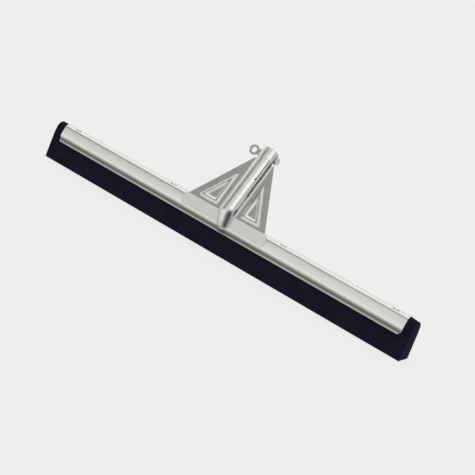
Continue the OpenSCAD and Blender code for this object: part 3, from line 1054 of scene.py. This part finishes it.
@dataclass
class PressedBracket(Part):
    """The pressed plate: flange, fold, wings with pressed triangles, and the trough behind."""

    slot: ClassVar[str] = "pressed_bracket"
    base_x: float = 79.5
    top_x: float = 19.6
    flange_x: float = 86.0
    flange_h: float = 21.5
    flange_r: float = 6.0
    tongue_rim: float = 1.2
    trough_fit: float = 0.05
    bend_r: float = 2.5
    fold_r: float = 4.0
    press_h: float = 1.8
    outer_slope: float = 4.4
    outer_ease: float = 2.0
    inner_slope: float = 4.3
    bead_h: float = 0.8
    bead_w: float = 3.4
    press_in_x: float = 25.5
    press_out_x: float = 61.5
    press_low: float = 6.0
    press_top: float = 68.0
    press_lean: float = 1.0
    press_middle: float = 0.4
    press_ease: float = 3.0
    corner_blend: float = 1.2
    step: float = 0.85
    rim_r: float = 0.3
    finish: ClassVar[Finish] = ZincSheet("pressed_zinc_plated_sheet", "#dadbd7", "#d0d1cc", 0.25, Grain.UP_BRACKET,
                                         streak_w_mm=1.4, cloud_mm=11.0, relief=0.12, cloud_sheen=0.015)

    def half_width(self, up: float) -> float:
        """Half the plate's width.

        Args:
            up: distance up from the fold, below zero on the flange.

        Returns:
            Distance from the middle line to the plate's edge.
        """
        if up >= 0:
            return self.base_x + (self.top_x - self.base_x) * up / self.layout.wing_l
        corner = -self.flange_h + self.flange_r
        if up < corner:
            drop = min(corner - up, self.flange_r)
            return self.flange_x - self.flange_r + sqrt(self.flange_r**2 - drop**2)
        return self.base_x + min(-up * 2, self.flange_x - self.base_x)

    def relief(self, x: Array, up: Array) -> Array:
        """Height of the pressed triangles and the bead above the wing.

        Args:
            x: distances from the middle line.
            up: distances up from the fold, one for each x.

        Returns:
            The heights.
        """
        corners = np.array([(self.press_in_x, self.press_low), (self.press_out_x, self.press_low),
                            (self.press_in_x + self.press_lean, self.press_top)])
        point = np.stack([np.abs(x), up], axis=-1)
        depths = []
        for a, b in zip(corners, np.roll(corners, -1, axis=0)):
            run = unit(b - a)
            depths.append((point - a) @ np.array([-run[1], run[0]]))
        blend = self.corner_blend
        depth = -blend * np.log(sum(np.exp(-np.clip(d, -40, 40) / blend) for d in depths))
        sides = [np.linalg.norm(corners[i - 1] - corners[i - 2]) for i in range(3)]
        cross = abs(np.cross(corners[1] - corners[0], corners[2] - corners[0]))
        inner = cross / sum(sides) * (1 - self.press_middle) - self.inner_slope
        raised = smooth_step((depth + self.outer_ease) / self.outer_slope)
        sunk = smooth_step((depth - inner) / self.inner_slope)
        bead = self.bead_h * smooth_step(1 - (np.abs(x) - self.bend()[0]) / self.bead_w)
        return self.press_h * (raised - sunk) + bead

    def placed(self, x: float, up: float, out: float) -> Array:
        """A point of the front face, with the fold rounded.

        Args:
            x: distance to the right of the middle line.
            up: distance up from the fold, below zero on the flange.
            out: height above the face.

        Returns:
            The point.
        """
        lay = self.layout
        half = radians(lay.wing_tilt - lay.face_tilt) / 2
        reach = self.fold_r * tan(half)
        if abs(up) >= reach:
            return (lay.wing if up > 0 else lay.flange).at(x, up, out)
        tilt = radians(lay.face_tilt) + half * 2 * (up + reach) / (2 * reach)
        centre = lay.flange.at(x, -reach, 0) - self.fold_r * lay.flange.out
        return centre + (self.fold_r + out) * np.array([0.0, -cos(tilt), sin(tilt)])

    def bend(self) -> tuple[float, float, float]:
        """The bend from wing to trough: its centre's x, the trough's radius and the bend's end round the socket."""
        lay = self.layout
        trough = lay.socket_r + self.trough_fit
        centre_x = sqrt((trough + self.bend_r) ** 2 - (lay.axis_out + self.bend_r) ** 2)
        return centre_x, trough, degrees(atan2(centre_x, -(lay.axis_out + self.bend_r)))

    def trough_path(self) -> Array:
        """Front face across the trough from the right wing's edge to the left one, as x and out."""
        centre_x, trough, angle = self.bend()
        right = arc_points((centre_x, -self.bend_r), self.bend_r, 90, 270 - angle, 8)
        around = [np.array([trough * sin(a), self.layout.axis_out + trough * cos(a)])
                  for a in np.radians(np.linspace(angle, 180, 30)[1:])]
        return mirrored(np.array([*right, *around]))

    def clear_of_crown(self, point: Array) -> bool:
        """Whether a point lies outside the channel's crown."""
        lay = self.layout
        reach = hypot(point[1] - lay.shift_y, point[2] - lay.crown_z)
        return reach >= lay.crown_r + self.trough_fit + lay.plate_t

    def wing_rows(self, side: int) -> Array:
        """Front face of one wing with its part of the flange.

        Args:
            side: 1 for the right wing, -1 for the left one.

        Returns:
            Rows of points, from the flange's foot up.
        """
        wing_l, inner_x = self.layout.wing_l, self.bend()[0]
        ups = np.concatenate([
            -self.flange_h + self.flange_r * (1 - np.cos(np.radians([0, 15, 30, 45, 60, 75, 90]))),
            np.linspace(-self.flange_h + self.flange_r, -(self.flange_x - self.base_x) / 2, 10)[1:],
            [-1.6, -0.49, 0.0, 0.49], np.arange(1.2, wing_l, self.step), [wing_l],
        ])
        rows = []
        for up in ups:
            xs = inner_x + (self.half_width(up) - inner_x) * np.linspace(0, 1, 84)
            outs = self.relief(xs, np.full(len(xs), up)) * min(max(up, 0.0) / self.press_ease, 1.0)
            rows.append([self.placed(side * x, up, out) for x, out in zip(xs, outs)])
        return np.array(rows)

    def middle_rows(self) -> Array:
        """Front face of the flange under the socket, down to the tongue round the spoon."""
        lay = self.layout
        inner_x, swing = self.bend()[0], radians(lay.spoon_swing)
        centre_x, centre_up = lay.spoon_l * sin(swing), -lay.spoon_l * cos(swing)
        xs = np.linspace(-inner_x, inner_x, 49)
        beside = np.clip((lay.spoon_r + self.tongue_rim) ** 2 - (xs - centre_x) ** 2, 0, None)
        lows = np.where(beside > 0, np.minimum(-self.flange_h, centre_up - np.sqrt(beside)), -self.flange_h)
        return np.array([[self.placed(x, low * (1 - s), 0) for x, low in zip(xs, lows)] for s in np.linspace(0, 1, 16)])

    def trough_rows(self) -> Array:
        """Front face of the trough, cut off above the channel's crown."""
        wing = self.layout.wing
        wing_l = self.layout.wing_l
        rows = []
        for x, out in self.trough_path():
            low = next(u for u in np.linspace(0, wing_l, 240) if self.clear_of_crown(wing.at(x, u, out)))
            drawn = self.bead_h * float(smooth_step(1 + out / self.bend_r)) * (out <= 0)
            rows.append([wing.at(x, u, out + drawn * min(u / self.press_ease, 1.0))
                         for u in np.linspace(low, wing_l, 60)])
        return np.array(rows)

    def turn_to_front(self, plate: Object) -> None:
        """Turns the open plate's faces so that they look to the front or at the socket's axis.

        Args:
            plate: the open surface.
        """
        lay = self.layout
        axis, up, out = Vector(lay.foot * MM), Vector(lay.wing.up), Vector(lay.wing.out)
        with edited(plate.data) as work:
            turned = []
            for face in work.faces:
                middle = face.calc_center_median()
                along = axis + up * (middle - axis).dot(up)
                inside = abs(middle.x) < 13.2 * MM and (middle - along).dot(out) < 0
                aim = along - middle if inside and (middle - axis).dot(up) > 0 else Vector(lay.flange.out)
                if face.normal.dot(aim) < 0:
                    turned.append(face)
            bmesh.ops.reverse_faces(work, faces=turned)

    def thickened(self, plate: Object) -> Object:
        """Gives the front face its wall behind and rounded rims.

        Args:
            plate: the open surface, turned to the front.

        Returns:
            The finished plate.
        """
        solid = plate.modifiers.new("wall", "SOLIDIFY")
        solid.thickness, solid.offset, solid.use_even_offset = self.layout.plate_t * MM, -1, True
        bevel = plate.modifiers.new("rim", "BEVEL")
        bevel.width, bevel.segments = self.rim_r * MM, 2
        bevel.limit_method, bevel.angle_limit = "ANGLE", radians(60)
        return baked(plate)

    def build(self) -> None:
        """Makes the bracket."""
        shell = Shell()
        for rows in (self.wing_rows(1), self.wing_rows(-1)[:, ::-1], self.middle_rows(), self.trough_rows()):
            shell.grid(rows)
        plate = shell.piece("pressed_bracket", closed=False)
        self.turn_to_front(plate)
        self.dress(self.thickened(plate), ["bracket_plate"])


@dataclass
class RolledSocket(Part):
    """The socket rolled from sheet: open seam, clamping slit, ball and spoon at its foot."""

    slot: ClassVar[str] = "rolled_socket"
    seam_ups: tuple[float, ...] = (2.0, 2.6, 4.0, 8.0, 11.5, 13.5, 15.0, 18.0, 33.0, 37.0, 45.0, 200.0)
    seam_halves: tuple[float, ...] = (0.0, 0.8, 1.5, 1.9, 1.7, 0.9, 0.08, 0.03, 0.03, 0.9, 1.7, 1.9)
    slit_w: float = 1.0
    slit_low: float = 71.5
    relief_r: float = 1.7
    ball_ease: float = 4.5
    ball_tuck: float = 0.12
    ball_neck: float = 1.1
    ball_step: float = 0.1
    end_square: float = 0.55
    rim_r: float = 0.35
    edge_r: float = 0.1
    pass_r: float = 4.0
    columns: int = 161
    # Where the painted dark reflection lies on the spoon and how strong it is, and the painted highlight beside it
    dark_reflection_angle: float = 49.0
    dark_reflection_from: float = -7.0
    dark_reflection_to: float = 27.0
    dark_reflection_share: float = 0.95
    painted_highlight_beside: float = 42.0
    painted_highlight_share: float = 0.8
    # Its dark colour is the painted shade and dark reflection, mixed in by the share stored on each point
    finish: ClassVar[Finish] = ZincSheet("rolled_zinc_plated_tube", "#dcddd9", "#d2d3ce", 0.24, Grain.UP_BRACKET,
                                         streak_w_mm=0.9, relief=0.15, painted_light="#41424e")

    def spine(self) -> list[tuple[Array, Array, float, float]]:
        """Centres, directions, radii and distances up from the fold, from the mouth to the spoon's end."""
        lay, ease = self.layout, self.ball_ease
        foot, down, run = lay.foot, -lay.wing.up, lay.spoon_run
        made = []
        for turn in np.radians([0, 30, 60, 90]):
            up = lay.socket_l - self.rim_r * (1 - cos(turn))
            made.append((foot - down * up, down, lay.socket_r - self.rim_r * (1 - sin(turn)), up))
        for up in [*np.linspace(lay.socket_l - 2.0, 20.0, 54), *np.linspace(19.0, 5.0, 25)]:
            made.append((foot - down * up, down, lay.socket_r, up))
        for share in np.linspace(0, 1, 15):
            swung = unit(down + (run - down) * float(smooth_step(share)))
            along = (2 * share - 1) * ease
            centre = foot + (down * along if along < 0 else run * along)
            centre = centre - (down - run) * ease * self.ball_tuck * (1 - (2 * share - 1) ** 2)
            made.append((centre, swung, lay.socket_r - self.ball_step * share - self.ball_neck * share**2, -along))
        start_r = made[-1][2]
        for share in np.linspace(0.06, 1, 14):
            along = ease + (lay.spoon_l - ease) * share
            made.append((foot + run * along, run, start_r + (lay.spoon_r - start_r) * share, -along))
        for turn in np.radians([12, 24, 36, 48, 60, 70, 79, 86]):
            along = lay.spoon_l + lay.spoon_r * sin(turn)
            made.append((foot + run * along, run, lay.spoon_r * cos(turn) ** self.end_square, -along))
        return made

    def skins(self) -> tuple[Array, Array, int]:
        """The outer and the inner surface, from the mouth down, and the number of rows that the seam opens."""
        lay = self.layout
        middle = radians(lay.seam_angle)
        outer, inner = [], []
        open_rows = 0
        for centre, run, radius, up in self.spine():
            front, side = lay.facing(run)
            gap = float(np.interp(up, self.seam_ups, self.seam_halves)) / lay.socket_r
            open_rows += gap > 0
            edge = min(self.edge_r / lay.socket_r, gap / 2)
            first, last = middle + gap, middle + 2 * pi - gap
            turns = np.array([first, *np.linspace(first + edge, last - edge, self.columns - 2), last])
            drawn = np.zeros(self.columns)
            drawn[[0, -1]] = edge * lay.socket_r
            # The mouth's rim is rounded on both skins
            wall = lay.socket_t - 2 * (lay.socket_r - radius) if up > lay.socket_l - 1 else lay.socket_t
            rays = np.cos(turns)[:, None] * front + np.sin(turns)[:, None] * side
            outer.append(centre + (radius - drawn)[:, None] * rays)
            inner.append(centre + np.maximum(radius - wall + drawn, 0.05)[:, None] * rays)
        return np.array(outer), np.array(inner), open_rows

    def behind_flange(self) -> Object:
        """Cutting block that fills the space behind the flange's face, below the fold."""
        far = 60.0
        return tube_piece("behind", [[self.layout.flange.at(x, up, out) for x, up in
                                      ((-far, -far), (far, -far), (far, 0.0), (-far, 0.0))] for out in (-far, 0.02)])

    def slit(self) -> Object:
        """Cutting block of the clamping slit through the wall."""
        lay = self.layout
        turn = radians(lay.slit_angle)
        radial = sin(turn) * X_AXIS + cos(turn) * lay.wing.out
        beside = cos(turn) * X_AXIS - sin(turn) * lay.wing.out
        half, inner, outer = self.slit_w / 2, lay.bore_r - 1.5, lay.socket_r + 1.5
        corners = (inner, -half), (outer, -half), (outer, half), (inner, half)
        return tube_piece("slit", [[lay.wing.at(0, up, lay.axis_out) + reach * radial + side * beside
                                    for reach, side in corners] for up in (self.slit_low, lay.socket_l + 5)])

    def painted_light_share(self, points: Array) -> Array:
        """Painted shade in the bore, a painted dark reflection on the spoon and a painted highlight beside it.

        Bare numbers are millimetres down the spoon, degrees round it, or widths over which a share eases.

        Args:
            points: places on the piece, one a row.

        Returns:
            A share from -1 to 1 for each place.
        """
        lay = self.layout
        from_foot = points - lay.foot
        up = from_foot @ lay.wing.up
        reach = np.linalg.norm(from_foot - up[:, None] * lay.wing.up, axis=1)
        # Painted shade inside the bore
        bore = (up > 1.5) * smooth_step((lay.socket_r - 0.25 - reach) / 0.6)
        # Painted dark reflection on the spoon
        front, side = lay.facing(lay.spoon_run)
        along = from_foot @ lay.spoon_run
        turn = np.degrees(np.arctan2(from_foot @ side, from_foot @ front)) - self.dark_reflection_angle
        width = 13.0 + 20.0 * smooth_step((along - self.dark_reflection_from) / 14.0)
        tint = self.dark_reflection_share * np.exp(-((np.abs(turn) / width) ** 2.5))
        tint *= smooth_step((along - self.dark_reflection_from) / 7.0) * smooth_step((self.dark_reflection_to - along) / 4.0)
        # Painted highlight beside the dark reflection
        painted_highlight = self.painted_highlight_share * np.exp(-(((turn + self.painted_highlight_beside) / 13.0) ** 2))
        painted_highlight *= smooth_step((along + 4.0) / 6.0) * smooth_step((20.0 - along) / 10.0)
        return np.maximum(bore, tint * (up < 14)) - painted_highlight * (up < 14) * (bore <= 0)

    def build(self) -> None:
        """Makes the socket."""
        lay = self.layout
        outer, inner, open_rows = self.skins()
        shell = Shell()
        shell.grid(np.array([*outer[::-1], *inner]))
        for edge in (0, -1):
            shell.grid(np.stack([outer[: open_rows + 1, edge], inner[: open_rows + 1, edge]], axis=1))
        shell.cap(outer[-1][:-1])
        shell.cap(inner[-1][:-1])
        socket = less(less(shell.piece("rolled_socket"), self.behind_flange()), self.slit())
        crown = np.array([0.0, lay.shift_y, lay.crown_z])
        socket = drilled(socket, [(crown - 60 * X_AXIS, crown + 60 * X_AXIS)], lay.crown_r + lay.rubber_fit, 96)
        slit_foot = lay.on_socket(lay.slit_angle, self.slit_low, 0), lay.on_socket(lay.slit_angle, self.slit_low, 20)
        socket = drilled(drilled(socket, [slit_foot], self.relief_r), [lay.cross_hole()], self.pass_r)
        # Stores the painted shade and painted highlight shares on the socket
        store_painted_light(socket, self.painted_light_share)
        self.dress(socket, ["handle_socket"])


@dataclass
class MouthBand(Part):
    """The open band round the socket's mouth, with the groove that carries the slit on."""

    slot: ClassVar[str] = "rolled_socket"
    groove_w: float = 0.9
    groove_h: float = 0.7
    gap_w: float = 4.6
    rim_r: float = 0.35
    seat_fit: float = 0.01
    pass_r: float = 4.0
    finish: ClassVar[Finish] = ZincSheet("rolled_zinc_plated_band", "#dcddd9", "#d2d3ce", 0.24, Grain.UP_BRACKET,
                                         streak_w_mm=0.9)

    def build(self) -> None:
        """Makes the band."""
        lay, rim = self.layout, self.rim_r
        low, high, seat = lay.collar_top - lay.collar_h, lay.collar_top, lay.socket_r + self.seat_fit
        outline = rounded([(seat, low + 1), (seat, low), (lay.collar_r, low), (lay.collar_r, high), (seat, high),
                           (seat, low + 1.01)], [0, 0.05, rim, rim, 0.05, 0], 4)
        seam = degrees(self.gap_w / 2 / lay.collar_r)
        groove = degrees(self.groove_w / 2 / lay.collar_r)
        slit = lay.slit_angle + 360
        angles = [*np.linspace(lay.seam_angle + seam, slit - groove - 0.3, 90), slit - groove, slit + groove,
                  *np.linspace(slit + groove + 0.3, lay.seam_angle + 360 - seam, 8)]
        rings = []
        for angle in angles:
            top = lay.collar_r - (self.groove_h if abs(angle - slit) <= groove + 0.01 else 0)
            rings.append([lay.on_socket(angle, up, min(radius, top)) for radius, up in outline])
        band = drilled(tube_piece("mouth_band", rings), [lay.cross_hole()], self.pass_r)
        self.dress(band, ["mouth_collar"])


@dataclass
class WeldNut(Part):
    """One hexagon nut on the band, chamfered outside, hollowed to the band and threaded."""

    hand: int
    flats: float = 13.0
    thick: float = 6.5
    face_x: float = 19.2
    bore_r: float = 3.4
    mouth: float = 0.6
    thread_h: float = 0.5
    pitch: float = 1.25
    chamfer_r: float = 6.15
    columns: int = 72
    finish: ClassVar[Finish] = ZincSheet("plated_forged_steel", "#e2e2de", "#d2d2cd", 0.34, Grain.NONE,
                                         streak_w_mm=1.0, cloud_mm=5.0)

    def side_r(self, turn: float) -> float:
        """The hexagon's radius at an angle."""
        away = (degrees(turn) + 360) % 60 - 30
        return self.flats / 2 / cos(radians(away))

    def seat_x(self, out: float) -> float:
        """Where the seat meets the band at a distance out from the screw's axis."""
        lay = self.layout
        chord = sqrt(max(lay.collar_r**2 - (out - lay.screw_back) ** 2, 0.0))
        return max(self.face_x - self.thick, chord + 0.01)

    def rows(self) -> list[list[tuple[float, float, float]]]:
        """Rings of points as x, radius and angle, from the bore's seat over the face to the outer seat."""
        turns = full_turn(self.columns)
        made = []
        for share in np.linspace(0, 1, 41):
            ring = []
            for turn in turns:
                seat = self.seat_x(self.bore_r * sin(turn))
                x = seat + (self.face_x - self.mouth - seat) * share
                wave = abs(2 * ((x / self.pitch - self.hand * turn / (2 * pi)) % 1) - 1)
                radius = self.bore_r + self.thread_h * wave * min(1, 8 * share) * min(1, 8 * (1 - share))
                ring.append((x, radius, turn))
            made.append(ring)
        for radius in (self.bore_r + self.mouth, self.bore_r + self.mouth + 0.05, self.chamfer_r):
            made.append([(self.face_x, radius, turn) for turn in turns])
        slope = tan(radians(30))
        made.append([(self.face_x - (self.side_r(t) - self.chamfer_r) * slope, self.side_r(t), t) for t in turns])
        made.append([(self.seat_x(self.side_r(t) * sin(t)), self.side_r(t), t) for t in turns])
        return made

    def build(self) -> None:
        """Makes the nut."""
        rings = [[self.layout.round_screw(self.hand * x, r, t) for x, r, t in ring] for ring in self.rows()]
        shell = Shell()
        shell.grid(np.array(rings), closed_rows=True, closed_columns=True)
        side = "right" if self.hand > 0 else "left"
        self.dress(shell.piece(f"{side}_nut"), [f"weld_nut_{side}"])


@dataclass
class SpringWasher(Part):
    """The split washer under the screw's shoulder."""

    body: ClassVar[str] = WASHER_BODY
    face_x: float = 20.0
    thick: float = 0.9
    rise: float = 0.12
    inner_r: float = 3.42
    outer_r: float = 6.2
    split_at: float = 70.0
    split_deg: float = 9.0
    rim_r: float = 0.12
    finish: ClassVar[Finish] = ZincSheet("plated_spring_steel", "#b9b9b4", "#a4a49f", 0.34, Grain.NONE, cloud_mm=4.0)

    def build(self) -> None:
        """Makes the washer."""
        wall, inner, outer = self.thick - self.rise, self.inner_r, self.outer_r
        rings = []
        for share in np.linspace(0, 1, 97):
            low = self.face_x + self.rise * share
            turn = radians(self.split_at + self.split_deg / 2 + (360 - self.split_deg) * share)
            outline = rounded([(inner, low + wall / 2), (inner, low), (outer, low), (outer, low + wall),
                               (inner, low + wall), (inner, low + wall / 2 + 0.01)], [0, *[self.rim_r] * 4, 0], 3)
            rings.append([self.layout.round_screw(-x, r, turn) for r, x in outline])
        self.dress(tube_piece("spring_washer", rings), ["lock_washer"])


@dataclass
class RingScrew(Part):
    """The ring screw: a forged eye grown into its shoulder, a turned core and a rolled thread."""

    body: ClassVar[str] = SCREW_BODY
    eye_x: float = 30.92
    eye_r: float = 7.0
    wire_r: float = 2.2
    eye_lean: float = 18.0
    shoulder_x: float = 20.92
    shoulder_l: float = 1.6
    shoulder_r: float = 4.8
    tip_x: float = 12.35
    core_r: float = 2.95
    crest_r: float = 3.34
    pitch: float = 1.25
    sunk: float = 0.1
    grain_mm: float = 0.17
    finish: ClassVar[Finish] = ZincSheet("forged_plated_steel", "#b6b6b2", "#a3a39f", 0.32, Grain.NONE,
                                         streak_w_mm=1.3, cloud_mm=6.0)

    def eye(self) -> Array:
        """Rings of the eye's wire."""
        lean = radians(self.layout.wing_tilt - self.eye_lean)
        rings = []
        for turn in full_turn(64):
            ring = []
            for around in full_turn(24):
                reach, off = self.eye_r + self.wire_r * cos(around), self.wire_r * sin(around)
                across = reach * sin(turn)
                ring.append(self.layout.on_screw(-self.eye_x + reach * cos(turn),
                                                 across * cos(lean) - off * sin(lean),
                                                 across * sin(lean) + off * cos(lean)))
            rings.append(ring)
        return np.array(rings)

    def forging(self) -> Object:
        """The eye, the shoulder and the core as one smooth body."""
        tip, low, high = self.tip_x, self.shoulder_x, self.shoulder_x + self.shoulder_l
        core, wide, wire = self.core_r, self.shoulder_r, self.wire_r
        # Places along the axis and radii, from the tip to the neck inside the eye
        outline = [(tip, 0.01), (tip, core - 0.5), (tip + 0.6, core), (low, core), (low, wide - 0.25),
                   (low + 0.25, wide), (high - 0.5, wide), (high, wide - 0.5), (high + 0.6, wire + 1.0),
                   (high + 2.0, wire - 0.3), (high + 2.2, 0.01)]
        lathed = [[self.layout.round_screw(-x, r, t) for t in full_turn(48)] for x, r in outline]
        shell = Shell()
        shell.grid(self.eye(), closed_rows=True, closed_columns=True)
        shell.grid(np.array(lathed), closed_columns=True)
        forging = shell.piece("ring_bolt")
        grown = forging.modifiers.new("forged", "REMESH")
        grown.mode, grown.voxel_size = "VOXEL", self.grain_mm * MM
        eased = forging.modifiers.new("eased", "SMOOTH")
        eased.factor, eased.iterations = 0.5, 6
        return baked(forging, 60)

    def thread(self, material: Material) -> Object:
        """The rolled thread, swept along a spiral on the core.

        Args:
            material: the finish's material.

        Returns:
            The thread's ridge.
        """
        made = GeometryRecipe("screw_thread", {
            "Start": tuple(self.layout.on_screw(-self.shoulder_x + 0.9, 0, 0) * MM),
            "Length": (self.shoulder_x - self.tip_x - 2.2) * MM,
            "Pitch": self.pitch * MM,
            "Core Radius": (self.core_r - self.sunk) * MM,
            "Finish": material,
        })
        tree, given = made.tree, made.given
        winding = {"Resolution": 40, "Rotations": math_of(tree, "DIVIDE", given["Length"], given["Pitch"]),
                   "Start Radius": given["Core Radius"], "End Radius": given["Core Radius"],
                   "Height": given["Length"]}
        spiral = {"Curve": output_of(tree, "GeometryNodeCurveSpiral", winding)}
        ridge = swept(tree, output_of(tree, "GeometryNodeSetCurveNormal", spiral, mode="Z_UP"), given["Geometry"])
        place = {"Geometry": ridge, "Translation": given["Start"], "Rotation": (0.0, radians(90), 0.0)}
        made.end(output_of(tree, "GeometryNodeTransform", place))
        height, foot, crest = self.crest_r - self.core_r + self.sunk, self.pitch * 0.36, 0.12
        profile = [(0, -foot, 0), (height, -crest, 0), (height, crest, 0), (0, foot, 0)]
        return made.run(np.array(profile), closed=True, sharp_angle=60)

    def build(self) -> None:
        """Makes the screw."""
        material = self.finish.material()
        self.dress(self.forging(), ["ring_screw"], material)
        self.dress(self.thread(material), [], material)


# Studio


@dataclass(frozen=True)
class SoftPatch:
    """One soft patch of the studio's dome: its middle, where it starts to fade and ends, and its change of light."""

    name: str
    azimuth: float
    elevation: float
    inner_deg: float
    outer_deg: float
    change: float

    @property
    def direction(self) -> tuple[float, float, float]:
        """Unit vector towards the patch. Azimuth 0 is the front and 90 is +X."""
        turn, rise = radians(self.azimuth), radians(self.elevation)
        return (sin(turn) * cos(rise), -cos(turn) * cos(rise), sin(rise))

    @property
    def span(self) -> tuple[float, float]:
        """Cosines of the angles where the patch ends and where it starts to fade."""
        return cos(radians(self.outer_deg)), cos(radians(self.inner_deg))


@dataclass
class Studio:
    """A pale floor, soft lamps, and the camera that was fitted to the photograph's outlines."""

    layout: Layout
    floor_size: float = 60.0
    backdrop: str = "#efefef"
    floor_glow: float = 0.9
    dome: float = 0.98
    patches: tuple[SoftPatch, ...] = (
        SoftPatch("dark flag", -47.0, 39.0, 8.0, 27.0, -0.61),
        SoftPatch("left softbox", -100.0, 10.0, 4.0, 24.0, 0.2),
        SoftPatch("low front softbox", -28.0, 14.0, 3.0, 24.0, 0.18),
        SoftPatch("overhead softbox", -90.0, 66.0, 8.0, 36.0, 0.46),
        SoftPatch("rear softbox", -152.0, 26.0, 20.0, 60.0, 0.3),
        SoftPatch("front softbox", 14.0, 46.0, 10.0, 42.0, 0.1),
        SoftPatch("right flag", 102.0, 9.0, 3.0, 22.0, -0.25),
    )
    key_azimuth: float = 67.0
    key_elevation: float = 30.0
    sun_strength: float = 0.25
    sun_spread: float = 45.0
    focal_mm: float = 106.482
    lens_shift: tuple[float, float] = (-0.00037, 0.00145)
    sensor_mm: float = 36.0
    place_mm: tuple[float, float, float] = (1049.67, -1962.34, 667.32)
    azimuth: float = 27.42
    elevation: float = 15.87
    roll: float = 21.64

    def floor(self) -> None:
        """Makes the pale floor, mostly self-lit so that only a soft shadow shows."""
        shell = Shell()
        half = self.floor_size / 2 / MM
        shell.grid(np.array([[(x, y, 0.0) for x in (-half, half)] for y in (-half, half)]))
        floor = shell.piece("studio_floor", closed=False)
        material = bpy.data.materials.new("painted_studio_floor")
        tree = empty_tree(material)
        pale = {"Color": linear_colour(self.backdrop)}
        glow = output_of(tree, "ShaderNodeEmission", {**pale, "Strength": 1.0})
        paint = output_of(tree, "ShaderNodeBsdfDiffuse", pale)
        mixed = output_of(tree, "ShaderNodeMixShader", {0: 1 - self.floor_glow, 1: glow, 2: paint})
        add_node(tree, "ShaderNodeOutputMaterial", {"Surface": mixed})
        floor.data.materials.append(material)

    def world(self) -> None:
        """Makes the backdrop: one pale colour for the camera, a soft gradient for the metal."""
        world = bpy.data.worlds.new("studio")
        bpy.context.scene.world = world
        tree = empty_tree(world)
        ray = output_of(tree, "ShaderNodeTexCoord", output="Generated")
        level = self.dome
        for patch in self.patches:
            aim = {0: ray, 1: patch.direction}
            toward = output_of(tree, "ShaderNodeVectorMath", aim, "Value", operation="DOT_PRODUCT", label=patch.name)
            level = math_of(tree, "ADD", level, ranged(tree, toward, patch.span, (0.0, patch.change), "SMOOTHSTEP"))
        sky = output_of(tree, "ShaderNodeBackground", {"Strength": level})
        pale = output_of(tree, "ShaderNodeBackground", {"Color": linear_colour(self.backdrop)})
        seen = output_of(tree, "ShaderNodeLightPath", output="Is Camera Ray")
        mixed = output_of(tree, "ShaderNodeMixShader", {0: seen, 1: sky, 2: pale})
        add_node(tree, "ShaderNodeOutputWorld", {"Surface": mixed})

    def light(self) -> None:
        """Hangs the broad key lamp at the right."""
        data = bpy.data.lights.new("key", "SUN")
        data.energy, data.angle = self.sun_strength, radians(self.sun_spread)
        lamp = linked("key", data)
        lamp.rotation_euler = Euler((radians(90 - self.key_elevation), 0.0, radians(self.key_azimuth)))

    def shoot(self) -> None:
        """Places the camera as the photograph shows the object."""
        data = bpy.data.cameras.new("camera")
        data.lens, data.sensor_width = self.focal_mm, self.sensor_mm
        data.shift_x, data.shift_y = self.lens_shift
        camera = linked("camera", data)
        aim = Euler((radians(90 - self.elevation), 0.0, radians(self.azimuth))).to_matrix()
        camera.rotation_euler = (aim @ Euler((0.0, 0.0, radians(self.roll))).to_matrix()).to_euler()
        camera.location = (Vector(self.place_mm) + Vector((0.0, self.layout.shift_y, 0.0))) * MM
        bpy.context.scene.camera = camera
        bpy.context.scene.view_settings.view_transform = "Standard"

    def build(self) -> None:
        """Makes the studio."""
        self.floor()
        self.world()
        self.light()
        self.shoot()


def main() -> None:
    """Builds the squeegee piece by piece, then the studio."""
    logging.basicConfig(level=logging.INFO, format="%(name)s: %(message)s")
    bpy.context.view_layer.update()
    layout = Layout.of_frame()
    channel, staples = FoldedChannel(layout), CrownStaples(layout)
    channel.build(staples.legs())
    for part in (FoamBlade(layout, channel), staples, PressedBracket(layout), RolledSocket(layout), MouthBand(layout),
                 WeldNut(layout, -1), WeldNut(layout, 1), SpringWasher(layout), RingScrew(layout), Studio(layout)):
        part.build()


if __name__ == "__main__":
    main()
